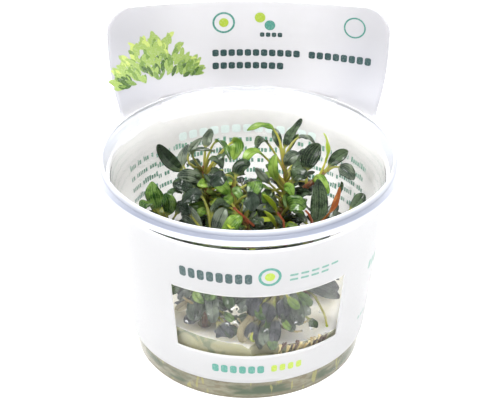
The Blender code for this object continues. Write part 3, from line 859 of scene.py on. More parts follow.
@dataclass
class Film:
    """Printed film: a sleeve with a window that stands up behind the cup as a tag."""

    cup: Cup
    thickness: float = 0.3
    clearance: float = 0.5
    bottom: float = 8.3
    top: float = 64.1
    window_bottom: float = 20.1
    window_top: float = 45.6
    window_left_deg: float = 212.9
    window_right_deg: float = 136.4
    tag_half_deg: float = 62.0
    tag_top: float = 103.2
    tag_corner: float = 9.0
    tag_out: float = 51.35
    open_from: float = 46.0
    open_by: float = 68.0
    open_power: int = 5
    bend_low: float = 62.0
    bend_high: float = 150.0
    fade_deg: float = 95.0
    slot_half_deg: float = 41.0
    slot_top: float = 69.3
    tongue_half_deg: float = 12.0
    tongue_bottom: float = 67.3
    column_deg: float = 1.5
    row_step: float = 1.4

    def snug(self, height: float) -> float:
        """Radius of the film where it lies on the cup's wall."""
        return self.cup.body_radius + self.clearance + self.cup.taper * min(height, self.top)

    def point(self, degrees: float, height: float) -> Vector:
        """Middle of the film, a cone that opens and flattens towards the tag.

        Args:
            degrees: angle from the back.
            height: height above the foot.

        Returns:
            The point.
        """
        snug, angle = self.snug(height), from_back(degrees)
        on_cone = on_ring(snug, angle, height)
        opening = min(max(height - self.open_from, 0.0) / (self.open_by - self.open_from), 1.0)
        opening **= self.open_power
        fade = 1.0 - ease((abs(angle) - self.tag_half_deg) / (self.fade_deg - self.tag_half_deg))
        if opening * fade == 0.0:
            return on_cone
        flatter = ease((height - self.open_by) / (self.tag_top - self.open_by - self.tag_corner))
        bend = snug + (self.bend_low - snug) * opening + (self.bend_high - self.bend_low) * flatter
        middle = snug + (self.tag_out - snug) * opening
        angle = math.radians(angle) * snug / bend
        opened = Vector((bend * math.sin(angle), middle - bend * (1.0 - math.cos(angle)), height))
        return on_cone.lerp(opened, fade)

    def normal(self, degrees: float, height: float, step: float = 0.2) -> Vector:
        """Outward direction of the film at a place.

        Args:
            degrees: angle from the back.
            height: height above the foot.
            step: how far off its neighbours are taken, in degrees and in millimetres.

        Returns:
            The direction, of length 1.
        """
        level = self.point(degrees + step, height) - self.point(degrees - step, height)
        upright = self.point(degrees, height + step) - self.point(degrees, height - step)
        return upright.cross(level).normalized()

    def outside(self, degrees: float, height: float, proud: float) -> Vector:
        """Point a little off the outer face, or off the inner face where proud is negative."""
        reach = self.thickness / 2.0 * (1.0 if proud > 0.0 else -1.0) + proud
        return self.point(degrees, height) + self.normal(degrees, height) * reach

    def columns(self) -> list[float]:
        """Angles of the columns, with one on each cut edge.

        Returns:
            The angles, in rising order.
        """
        edges = (self.tag_half_deg, self.slot_half_deg, self.tongue_half_deg)
        cuts = [a % 360.0 for a in edges] + [(-a) % 360.0 for a in edges]
        cuts += [self.window_left_deg, self.window_right_deg]
        steps = [self.column_deg * k for k in range(round(360.0 / self.column_deg))]
        plain = [a for a in steps if all(abs(a - c) > self.column_deg * 0.4 for c in cuts)]
        return sorted(cuts + plain)

    def rows(self) -> list[float]:
        """Heights of the rows, with one on each cut edge.

        Returns:
            The heights, in rising order.
        """
        cuts = [self.bottom, self.window_bottom, self.window_top, self.top, self.tongue_bottom, self.slot_top,
                self.tag_top - self.tag_corner]
        heights = []
        for low, high in zip(cuts, cuts[1:]):
            count = max(1, round((high - low) / self.row_step))
            heights += [mix(low, high, k / count) for k in range(count)]
        corner = [self.tag_top - self.tag_corner * (1.0 - math.sin(math.radians(a))) for a in range(0, 91, 5)]
        return heights + corner

    def holds(self, middle: float, height: float) -> bool:
        """Tell whether there is film at a place.

        Args:
            middle: angle from the back.
            height: height above the foot.

        Returns:
            False in the window, beside the tag and in the slot round its tongue.
        """
        aside = abs(from_back(middle))
        in_window = (self.window_right_deg < middle < self.window_left_deg
                     and self.window_bottom < height < self.window_top)
        beside_tag = height > self.top and aside > self.tag_half_deg
        in_slot = self.top < height < self.slot_top and aside < self.slot_half_deg
        on_tongue = height > self.tongue_bottom and aside < self.tongue_half_deg
        return not (in_window or beside_tag or (in_slot and not on_tongue))

    def build(self) -> None:
        """Fold the film and dress it."""
        columns, heights = self.columns(), self.rows()
        half_width = math.radians(self.tag_half_deg) * self.snug(self.top)
        shape = bmesh.new()
        grid: dict[tuple[int, int], bmesh.types.BMVert] = {}

        def vertex(column: int, row: int) -> bmesh.types.BMVert:
            """Make or find the corner of a cell.

            Args:
                column: number of its column.
                row: number of its row.

            Returns:
                The corner.
            """
            key = (column % len(columns), row)
            if key not in grid:
                height = heights[row]
                rise = max(height - (self.tag_top - self.tag_corner), 0.0)
                inset = self.tag_corner - math.sqrt(self.tag_corner ** 2 - min(rise, self.tag_corner) ** 2)
                angle = from_back(columns[key[0]])
                angle *= (half_width - inset) / half_width if rise > 0.0 else 1.0
                grid[key] = shape.verts.new(self.point(angle, height))
            return grid[key]

        for row in range(len(heights) - 1):
            height = (heights[row] + heights[row + 1]) / 2.0
            for column, angle in enumerate(columns):
                following = columns[(column + 1) % len(columns)]
                middle = (angle + ((following - angle) % 360.0) / 2.0) % 360.0
                if self.holds(middle, height):
                    shape.faces.new((vertex(column, row), vertex(column, row + 1),
                                     vertex(column + 1, row + 1), vertex(column + 1, row)))
        film = seat(shape, "film_sheet", [WhiteFilm().make()], "film", ["printed_film"], 60.0)
        thicken = film.modifiers.new("film thickness", "SOLIDIFY")
        thicken.thickness = self.thickness * MM
        thicken.offset = 0.0
        thicken.use_even_offset = True


class InkTone(Enum):
    """Inks of the print."""

    DARK_TEAL = Ink("ink_dark_teal", (0.023, 0.062, 0.062), 0.08)
    TEAL = Ink("ink_teal", (0.060, 0.260, 0.205))
    PALE_TEAL = Ink("ink_pale_teal", (0.14, 0.32, 0.26))
    LIME = Ink("ink_lime", (0.36, 0.48, 0.035))
    LEAF = Ink("ink_leaf", (0.16, 0.27, 0.05))
    DEEP_LEAF = Ink("ink_deep_leaf", (0.055, 0.12, 0.02))
    PALE_LEAF = Ink("ink_pale_leaf", (0.30, 0.42, 0.10))
    LIME_LEAF = Ink("ink_lime_leaf", (0.50, 0.60, 0.15))
    INFO = Ink("ink_info", (0.09, 0.24, 0.16), 0.25)
    SHOWING_THROUGH = Ink("ink_showing_through", (0.50, 0.58, 0.55), 0.1)


@dataclass
class Print:
    """Plain printed shapes on one face of the film, each drawn flat round a home place on it."""

    film: Film
    name: str
    home: PlanePoint
    proud: float = 0.02
    cell: float = 1.3
    ring_steps: int = 40
    disc_steps: int = 12
    blade_steps: int = 9
    shape: bmesh.types.BMesh = field(default_factory=bmesh.new)
    tones: list[InkTone] = field(default_factory=list)

    def tone_number(self, tone: InkTone) -> int:
        """Number of an ink on this piece.

        Args:
            tone: the ink.

        Returns:
            Its number.
        """
        if tone not in self.tones:
            self.tones.append(tone)
        return self.tones.index(tone)

    def to_film(self, point: PlanePoint) -> Vector:
        """Lay a flat point on the film.

        Args:
            point: millimetres right and up of home, as the print is read.

        Returns:
            The point.
        """
        degrees, height = self.home
        sense = 1.0 if abs(from_back(degrees)) < 90.0 else -1.0
        degrees += sense * math.degrees(point[0] / self.film.snug(height))
        return self.film.outside(degrees, height + point[1], self.proud)

    def ribbon(self, line: Sequence[PlanePoint], widths: Sequence[float], tone: InkTone,
               closed: bool = False) -> None:
        """Lay a ribbon of ink along a flat line.

        Args:
            line: points of its middle.
            widths: width at each point.
            tone: its ink.
            closed: whether the line is a loop.
        """
        number = self.tone_number(tone)
        across = max(1, math.ceil(max(widths) / self.cell))
        rungs = []
        count = len(line)
        for k, ((x, y), width) in enumerate(zip(line, widths)):
            before = line[k - 1] if k or closed else line[k]
            after = line[(k + 1) % count] if k < count - 1 or closed else line[k]
            along = Vector((after[0] - before[0], after[1] - before[1])).normalized()
            offset = Vector((-along.y, along.x)) * width
            spots = [(x + offset.x * (j / across - 0.5), y + offset.y * (j / across - 0.5))
                     for j in range(across + 1)]
            rungs.append([self.shape.verts.new(self.to_film(spot)) for spot in spots])
        pairs = list(zip(rungs, rungs[1:])) + ([(rungs[-1], rungs[0])] if closed else [])
        for first, second in pairs:
            for j in range(across):
                face = self.shape.faces.new((first[j], second[j], second[j + 1], first[j + 1]))
                face.material_index = number

    def bar(self, left: float, right: float, middle: float, height: float, tone: InkTone) -> None:
        """Lay a level bar with rounded ends.

        Args:
            left: start of the bar.
            right: end of the bar.
            middle: level of its middle.
            height: height of the bar.
            tone: its ink.
        """
        length = right - left
        end = min(height * 0.3, length * 0.3)
        steps = max(2, math.ceil(length / self.cell))
        stops = [0.0, end * 0.3, *(mix(end, length - end, k / steps) for k in range(steps + 1)),
                 length - end * 0.3, length]
        widths = [height * 0.62, height * 0.86, *[height] * (steps + 1), height * 0.86, height * 0.62]
        self.ribbon([(left + stop, middle) for stop in stops], widths, tone)

    def blocks(self, left: float, middle: float, count: int, size: PlanePoint, gap: float,
               tone: InkTone) -> None:
        """Lay a row of plain blocks.

        Args:
            left: start of the row.
            middle: level of its middle.
            count: how many blocks.
            size: width and height of a block.
            gap: space between two blocks.
            tone: its ink.
        """
        for k in range(count):
            start = left + k * (size[0] + gap)
            self.bar(start, start + size[0], middle, size[1], tone)

    def ring(self, x: float, y: float, radius: float, width: float, tone: InkTone) -> None:
        """Lay a ring of ink.

        Args:
            x: place of its middle.
            y: level of its middle.
            radius: its outer radius.
            width: width of its line.
            tone: its ink.
        """
        reach = radius - width / 2.0
        turns = [2.0 * math.pi * k / self.ring_steps for k in range(self.ring_steps)]
        line = [(x + reach * math.cos(t), y + reach * math.sin(t)) for t in turns]
        self.ribbon(line, [width] * self.ring_steps, tone, closed=True)

    def disc(self, x: float, y: float, radius: float, tone: InkTone) -> None:
        """Lay a disc of ink.

        Args:
            x: place of its middle.
            y: level of its middle.
            radius: its radius.
            tone: its ink.
        """
        spots = [-math.cos(math.pi * k / self.disc_steps) for k in range(self.disc_steps + 1)]
        widths = [max(2.0 * radius * math.sqrt(max(1.0 - s * s, 0.0)), 0.02) for s in spots]
        self.ribbon([(x + radius * s, y) for s in spots], widths, tone)

    def blade(self, x: float, y: float, lean_deg: float, length: float, width: float, tone: InkTone) -> None:
        """Lay a plain pointed oval.

        Args:
            x: place of its foot.
            y: level of its foot.
            lean_deg: lean to the right of upright.
            length: length of the oval.
            width: greatest width.
            tone: its ink.
        """
        lean = math.radians(lean_deg)
        shares = [k / self.blade_steps for k in range(self.blade_steps + 1)]
        line = [(x + math.sin(lean) * length * s, y + math.cos(lean) * length * s) for s in shares]
        widths = [max(width * (4.0 * s * (1.0 - s)) ** 0.7, 0.05) for s in shares]
        self.ribbon(line, widths, tone)

    def words(self, left: float, right: float, height: float, tone: InkTone, dice: random.Random) -> None:
        """Lay a row of plain specks in groups, as the letters of small print stand in a row.

        Args:
            left: start of the row.
            right: end of the row.
            height: height of the specks.
            tone: its ink.
            dice: source of the widths and groups.
        """
        number = self.tone_number(tone)
        low = -height / 2.0
        place = left
        while place < right - 1.0:
            for _ in range(dice.randint(2, 8)):
                width = dice.choice((0.5, 0.75, 0.75, 0.9)) * height / 1.35
                high = low + height * dice.choice((1.0, 1.0, 1.0, 1.32))
                end = place + width
                if end > right:
                    break
                spots = ((place, low), (end, low), (end, high), (place, high))
                face = self.shape.faces.new([self.shape.verts.new(self.to_film(spot)) for spot in spots])
                face.material_index = number
                place += width + 0.24 * height
            place += 0.75 * height

    def build(self) -> None:
        """Seat the print on the film."""
        finishes = [tone.value.make() for tone in self.tones]
        seat(self.shape, self.name, finishes, "film", crease_deg=80.0)


@dataclass
class Prints:
    """All print on the film: plain marks only."""

    film: Film
    seed: int = 5
    tuft_blades: int = 230
    tuft_half_width: float = 14.5
    tuft_height: float = 17.0
    inside_parts: tuple[float, ...] = (-57.0, -38.0, -19.0, 0.0, 19.0, 38.0, 57.0)

    def front(self) -> None:
        """Print the front of the sleeve above and below the window."""
        sheet = Print(self.film, "front_print", (178.0, 52.5))
        sheet.blocks(-23.5, 0.3, 8, (2.25, 3.9), 0.75, InkTone.DARK_TEAL)
        sheet.ring(5.2, 0.9, 3.6, 0.9, InkTone.TEAL)
        sheet.disc(5.2, 0.9, 1.6, InkTone.LIME)
        sheet.blocks(11.5, 0.6, 5, (2.7, 0.8), 0.9, InkTone.PALE_TEAL)
        sheet.blocks(11.5, -1.2, 4, (2.7, 0.8), 0.9, InkTone.PALE_TEAL)
        sheet.home = (176.0, 14.2)
        sheet.blocks(-14.5, 0.0, 6, (2.2, 3.3), 0.75, InkTone.TEAL)
        sheet.blocks(4.8, 0.0, 4, (1.9, 2.9), 0.9, InkTone.LIME)
        sheet.build()

    def sides(self) -> None:
        """Print the small marks on the right side of the sleeve and the rows on both its sides."""
        dice = random.Random(self.seed + 1)
        sheet = Print(self.film, "side_print", (111.0, 40.5))
        sheet.blocks(-4.2, 0.0, 3, (2.0, 3.6), 0.7, InkTone.PALE_TEAL)
        sheet.home = (112.5, 19.0)
        sheet.blocks(-4.2, 0.0, 3, (1.6, 1.2), 0.7, InkTone.PALE_TEAL)
        for row in range(6):
            sheet.home = (76.0, 46.0 - 3.0 * row)
            sheet.words(-16.0, 12.0, 1.1, InkTone.INFO, dice)
        sheet.home = (268.0, 42.0)
        sheet.ring(0.0, 0.0, 5.0, 0.6, InkTone.TEAL)
        sheet.disc(0.0, 0.0, 1.6, InkTone.LIME)
        for row in range(4):
            sheet.home = (268.0, 32.0 - 3.0 * row)
            sheet.words(-9.0, 9.0, 1.1, InkTone.INFO, dice)
        sheet.build()

    def tag(self) -> None:
        """Print the front of the tag: a tuft of plain blades, two rows of blocks and three plain marks."""
        sheet = Print(self.film, "tag_print", (-41.0, 75.5), proud=-0.02)
        self.tuft(sheet, random.Random(self.seed))
        sheet.home = (-16.0, 83.7)
        for left, middle, count in ((0.0, 0.0, 11), (34.5, 0.0, 8), (0.0, -5.0, 9)):
            sheet.blocks(left, middle, count, (2.3, 2.6), 0.6, InkTone.DARK_TEAL)
        sheet.ring(4.2, 11.6, 4.0, 0.7, InkTone.TEAL)
        sheet.disc(4.2, 11.6, 1.7, InkTone.LIME)
        sheet.disc(17.0, 13.5, 1.9, InkTone.LIME)
        sheet.disc(20.5, 10.6, 1.9, InkTone.TEAL)
        sheet.blocks(17.0, 7.0, 4, (1.6, 1.7), 0.5, InkTone.DARK_TEAL)
        sheet.ring(50.5, 11.6, 3.9, 0.55, InkTone.TEAL)
        sheet.build()

    def tuft(self, sheet: Print, dice: random.Random) -> None:
        """Lay a generic low mound of plain oval blades, each a hair above the last.

        Args:
            sheet: print that takes it.
            dice: source of its variation.
        """
        tones = (InkTone.DEEP_LEAF, InkTone.LEAF, InkTone.PALE_LEAF, InkTone.PALE_LEAF, InkTone.LIME_LEAF)
        plain = sheet.proud
        for order in range(self.tuft_blades):
            share = order / self.tuft_blades
            spread = dice.uniform(-1.0, 1.0)
            top = self.tuft_height * (1.0 - abs(spread)) ** 0.8 + 2.0
            y = mix(top, 0.0, share) * dice.uniform(0.75, 1.0)
            tone = tones[min(int(dice.random() * 3.0 + 2.2 * (1.0 - share)), len(tones) - 1)]
            sheet.proud = plain * (1.0 + 0.012 * order)
            lean_deg = spread * 60.0 + dice.uniform(-40.0, 40.0)
            sheet.blade(spread * self.tuft_half_width, y, lean_deg, dice.uniform(3.0, 4.6),
                        dice.uniform(1.2, 1.9), tone)
        sheet.proud = plain

    def inside(self) -> None:
        """Print the rows of small print that are read on the inner face, through the cup."""
        dice = random.Random(self.seed + 2)
        sheet = Print(self.film, "inside_print", (0.0, 0.0), proud=-0.02)
        for row in range(5):
            for middle in self.inside_parts:
                sheet.home = (middle, 51.9 - 4.1 * row + 3.1 * (middle / 70.0) ** 2)
                sheet.words(-7.0, 7.6, 1.5, InkTone.INFO, dice)
        sheet.home = (0.0, 56.2)
        sheet.blocks(-26.5, 0.0, 13, (3.2, 3.0), 0.9, InkTone.SHOWING_THROUGH)
        sheet.build()

    def build(self) -> None:
        """Print every face."""
        self.front()
        self.sides()
        self.tag()
        self.inside()


@dataclass
class Gel:
    """Gel cast in the cup, higher at the wall, with a hollow at the front where two leaves reach in."""

    cup: Cup
    plants: Plants
    sides: int = 160
    level: float = 22.6
    tilt: float = 0.09
    meniscus: float = 1.2
    swell: float = 0.35
    swell_scale: float = 0.09
    calm_from: float = 38.0
    calm_over: float = 6.0
    top_rings: tuple[float, ...] = (34.0, 30.0, 26.0, 22.0, 18.0, 14.0, 10.0, 6.0, 3.0, 0.0)
    socket_radius: float = 1.5
    hollow: Point = (6.0, -41.5, 17.5)
    hollow_radius: float = 5.25
    flare: float = 0.26
    well_sides: int = 28
    gap: float = 0.35

    def lift(self, point: Vector) -> float:
        """Tilt the top and make it a little uneven.

        Args:
            point: point of the level gel.

        Returns:
            Its height.
        """
        if point.z < self.level / 2.0:
            return point.z
        calm = ease((self.calm_from - math.hypot(point.x, point.y)) / self.calm_over)
        swell = noise.noise(Vector((point.x, point.y, 0.0)) * self.swell_scale) * self.swell * calm
        return point.z - self.tilt * point.x + swell

    def build(self) -> None:
        """Cast the gel and dress it."""
        bottom = self.cup.floor + self.gap
        edge = self.cup.wall_radius(self.level - self.tilt * self.cup.body_radius) - self.cup.wall - self.gap
        corner = self.cup.wall_radius(bottom) - self.cup.wall - self.gap - 0.9
        top = self.level + self.meniscus
        profile = [(0.0, bottom), (corner * 0.5, bottom), (corner, bottom), (corner + 0.55, bottom + 0.25),
                   (corner + 0.8, bottom + 0.9), (mix(corner + 0.8, edge, 0.5), mix(bottom, top, 0.5)),
                   (edge, top), (edge - 0.25, top - 0.05), (edge - 0.6, top - 0.45), (edge - 1.2, top - 0.9),
                   (edge - 2.2, self.level)]
        profile += [(radius, self.level) for radius in self.top_rings]
        finish = ClearGel(self.tilt).make()
        gel = seat(turn(profile, self.sides, self.lift), "gel_body", [finish], "gel", ["gel"], 50.0)
        self.sink_wells(gel)
        gel.visible_shadow = False

    def sink_wells(self, gel: bpy.types.Object) -> None:
        """Cut the wells of the rhizomes and the hollow at the front.

        Args:
            gel: the piece.
        """
        cutter = bmesh.new()
        for (x, y, _), *_ in self.plants.stems.values():
            self.add_well(cutter, x, y, self.plants.foot_height - 0.1, self.socket_radius)
        self.add_well(cutter, *self.hollow, self.hollow_radius)
        wells = to_object(cutter, "wells")
        cut = gel.modifiers.new("wells", "BOOLEAN")
        cut.operation = "DIFFERENCE"
        cut.solver = "EXACT"
        cut.object = wells
        bpy.context.view_layer.update()
        settled = bpy.data.meshes.new_from_object(gel.evaluated_get(bpy.context.evaluated_depsgraph_get()))
        gel.modifiers.clear()
        gel.data = settled
        bpy.data.objects.remove(wells)

    def add_well(self, shape: bmesh.types.BMesh, x: float, y: float, bottom: float, radius: float) -> None:
        """Add an upright well to a cutter.

        Args:
            shape: the cutter.
            x: place of its middle.
            y: place of its middle.
            bottom: level of its floor.
            radius: its radius.
        """
        flare, place = self.flare * radius, Vector((x, y, 0.0))
        turns = [360.0 * k / self.well_sides for k in range(self.well_sides)]
        steps = ((bottom, 0.0), (self.level - 1.6, 0.0), (self.level - 0.6, flare * 0.4), (self.level, flare),
                 (self.level + 6.0, flare * 6.0))
        tube(shape, [[on_ring(radius + wider, degrees, height) + place for degrees in turns]
                     for height, wider in steps])


UP: Point = (0.0, 0.0, 1.0)
FRONT: Point = (0.0, -1.0, 0.15)
FRONT_UP: Point = (0.0, -0.7, 0.7)
RIGHT_UP: Point = (0.7, -0.25, 0.65)
BACK_UP: Point = (0.0, 0.6, 0.8)
FRONT_LEFT: Point = (-0.6, -0.8, 0.3)
FRONT_RIGHT: Point = (0.6, -0.8, 0.3)


@dataclass(frozen=True)
class Leaf:
    """One leaf: where it grows, how it bends and how it is finished."""

    name: str
    stem: str
    share: float
    middle: Point
    tip: Point
    width: float
    stalk: float
    facing: Point
    green: Green


@dataclass
class LeafCut:
    """Shape of a leaf that is grown along a curve."""

    twist_deg: Span = (-26.0, 26.0)
    belly: Span = (0.85, 1.15)
    blunt: Span = (0.50, 0.80)
    pane_blunt: float = 0.62
    fold: Span = (0.05, 0.55)
    roll: Span = (0.0, 0.35)
    wave: Span = (0.08, 0.28)
    buckle: Span = (-0.12, 0.12)
    round: float = 6.28
    ripples: float = 11.0
    ripple_shift: float = 1.9
    groove: float = 0.2
    groove_width: float = 0.13
    vein: float = 0.045
    veins: float = 15.0
    stalk_width: float = 0.78
    stalk_neck: float = 0.44
    thickness: float = 0.42
    across: tuple[float, ...] = (-1.0, -0.88, -0.6, -0.3, -0.12, 0.0, 0.12, 0.3, 0.6, 0.88, 1.0)
    stalk_stops: tuple[float, ...] = (0.0, 0.3, 0.6, 0.85)
    blade_stops: tuple[float, ...] = (0.02, 0.06, 0.12, 0.19, 0.27, 0.36, 0.45, 0.54, 0.63, 0.72, 0.8, 0.87,
                                      0.925, 0.965, 0.988)

    def loop(self) -> list[PlanePoint]:
        """Places round a section: across it, and 1 above or -1 below."""
        return [(u, 1.0) for u in self.across] + [(u, -1.0) for u in reversed(self.across[1:-1])]

    def half_width(self, width: float, s: float, belly: float, blunt: float) -> float:
        """Half the width of a leaf at a place along it.

        Args:
            width: greatest width of the blade.
            s: place along the blade, below 0 on the stalk.
            belly: above 1 the widest place lies beyond the middle.
            blunt: the lower, the blunter are both ends.

        Returns:
            The half width.
        """
        if s <= 0.0:
            return self.stalk_width * mix(self.stalk_neck, 0.8, ease(-s))
        place = s ** belly
        return max(width / 2.0 * (4.0 * place * (1.0 - place)) ** blunt,
                   self.stalk_width * self.stalk_neck * (1.0 - ease(s / 0.3)))

    def grow(self, shape: bmesh.types.BMesh, root: Vector, leaf: Leaf, finish: int,
             dice: random.Random) -> None:
        """Skin a leaf from its root to its tip.

        Args:
            shape: mesh that takes it.
            root: start of its stalk.
            leaf: the leaf.
            finish: number of its finish.
            dice: source of its small differences.
        """
        layer = shape.loops.layers.uv.get("leaf") or shape.loops.layers.uv.new("leaf")
        middle, tip = Vector(leaf.middle), Vector(leaf.tip)
        control = middle * 2.0 - (root + tip) * 0.5
        phase, turn = dice.uniform(0.0, self.round), math.radians(dice.uniform(*self.twist_deg))
        belly, blunt = dice.uniform(*self.belly), dice.uniform(*self.blunt)
        blunt *= self.pane_blunt if leaf.stem.startswith("pane") else 1.0
        fold, roll = dice.uniform(*self.fold), dice.uniform(*self.roll)
        wave, buckle = dice.uniform(*self.wave), dice.uniform(*self.buckle)
        stops = [(leaf.stalk * s, s - 1.0) for s in self.stalk_stops]
        stops += [(mix(leaf.stalk, 1.0, s), s) for s in self.blade_stops]
        rings, places = [], []
        for t, s in stops:
            start, end = root.lerp(control, t), control.lerp(tip, t)
            centre, along = start.lerp(end, t), (end - start).normalized()
            side = Vector(leaf.facing).cross(along).normalized()
            upper = along.cross(side)
            blade = max(s, 0.0)
            cosine, sine = math.cos(turn * blade), math.sin(turn * blade)
            side, upper = side * cosine + upper * sine, upper * cosine - side * sine
            half = self.half_width(leaf.width, s, belly, blunt)
            opened = ease(blade / 0.2)
            thick = mix(min(half, self.stalk_width * 0.5), self.thickness / 2.0, opened)
            lift = half * opened * buckle * math.sin(self.round * blade)
            ring, place = [], []
            for u, face in self.loop():
                reach = abs(u)
                arch = thick * math.sqrt(max(1.0 - u * u, 0.0)) * face
                cup = fold * half * reach ** 1.3 - roll * half * reach ** 4
                shift = self.ripple_shift if u > 0 else 0.0
                ripple = wave * half * reach ** 3 * math.sin(phase + self.ripples * s + shift)
                groove = -self.groove * math.exp(-(u / self.groove_width) ** 2) * min(half, 1.2)
                vein = self.vein * half * math.cos(u * self.veins)
                relief = (groove + vein) * (1.0 if face > 0.0 else 0.7)
                height = arch + lift + opened * (cup + ripple + relief)
                ring.append(shape.verts.new(centre + side * (u * half) + upper * height))
                place.append(((u + 1.0) / 2.0 if face > 0.0 else 2.0 - (u + 1.0) / 2.0, s))
            rings.append(ring)
            places.append(place)
        count = len(rings[0])
        for k in range(len(rings) - 1):
            for n, face in enumerate(bridge(shape, rings[k], rings[k + 1], finish)):
                m = (n + 1) % count
                last = 2.0 if m == 0 else places[k][m][0]
                spots = ((last, places[k][m][1]), places[k][n],
                         places[k + 1][n], (last, places[k + 1][m][1]))
                for loop, spot in zip(face.loops, spots):
                    loop[layer].uv = spot
        self.close(shape, rings, places[-1], tip, finish)

    def close(self, shape: bmesh.types.BMesh, rings: Sequence[Sequence[bmesh.types.BMVert]],
              place: Sequence[PlanePoint], tip: Vector, finish: int) -> None:
        """Close a leaf at its root and at its tip.

        Args:
            shape: mesh that holds it.
            rings: its sections.
            place: places of the last section on the leaf.
            tip: its tip.
            finish: number of its finish.
        """
        layer = shape.loops.layers.uv["leaf"]
        end = shape.verts.new(tip)
        last = rings[-1]
        for n, corner in enumerate(last):
            m = (n + 1) % len(last)
            face = shape.faces.new((last[m], corner, end))
            face.material_index = finish
            across = 2.0 if m == 0 else place[m][0]
            middle = 1.5 if place[n][0] > 1.0 else 0.5
            spots = ((across, place[m][1]), place[n], (middle, 1.0))
            for loop, spot in zip(face.loops, spots):
                loop[layer].uv = spot
        cap = shape.faces.new(rings[0])
        cap.material_index = finish
        for loop in cap.loops:
            loop[layer].uv = (0.5, -1.0)


@dataclass(frozen=True)
class Spiral:
    """Small leaves that climb a rhizome in a spiral."""

    count: int
    first_deg: float
    lowest: float
    highest: float
    bare: tuple[int, ...] = ()


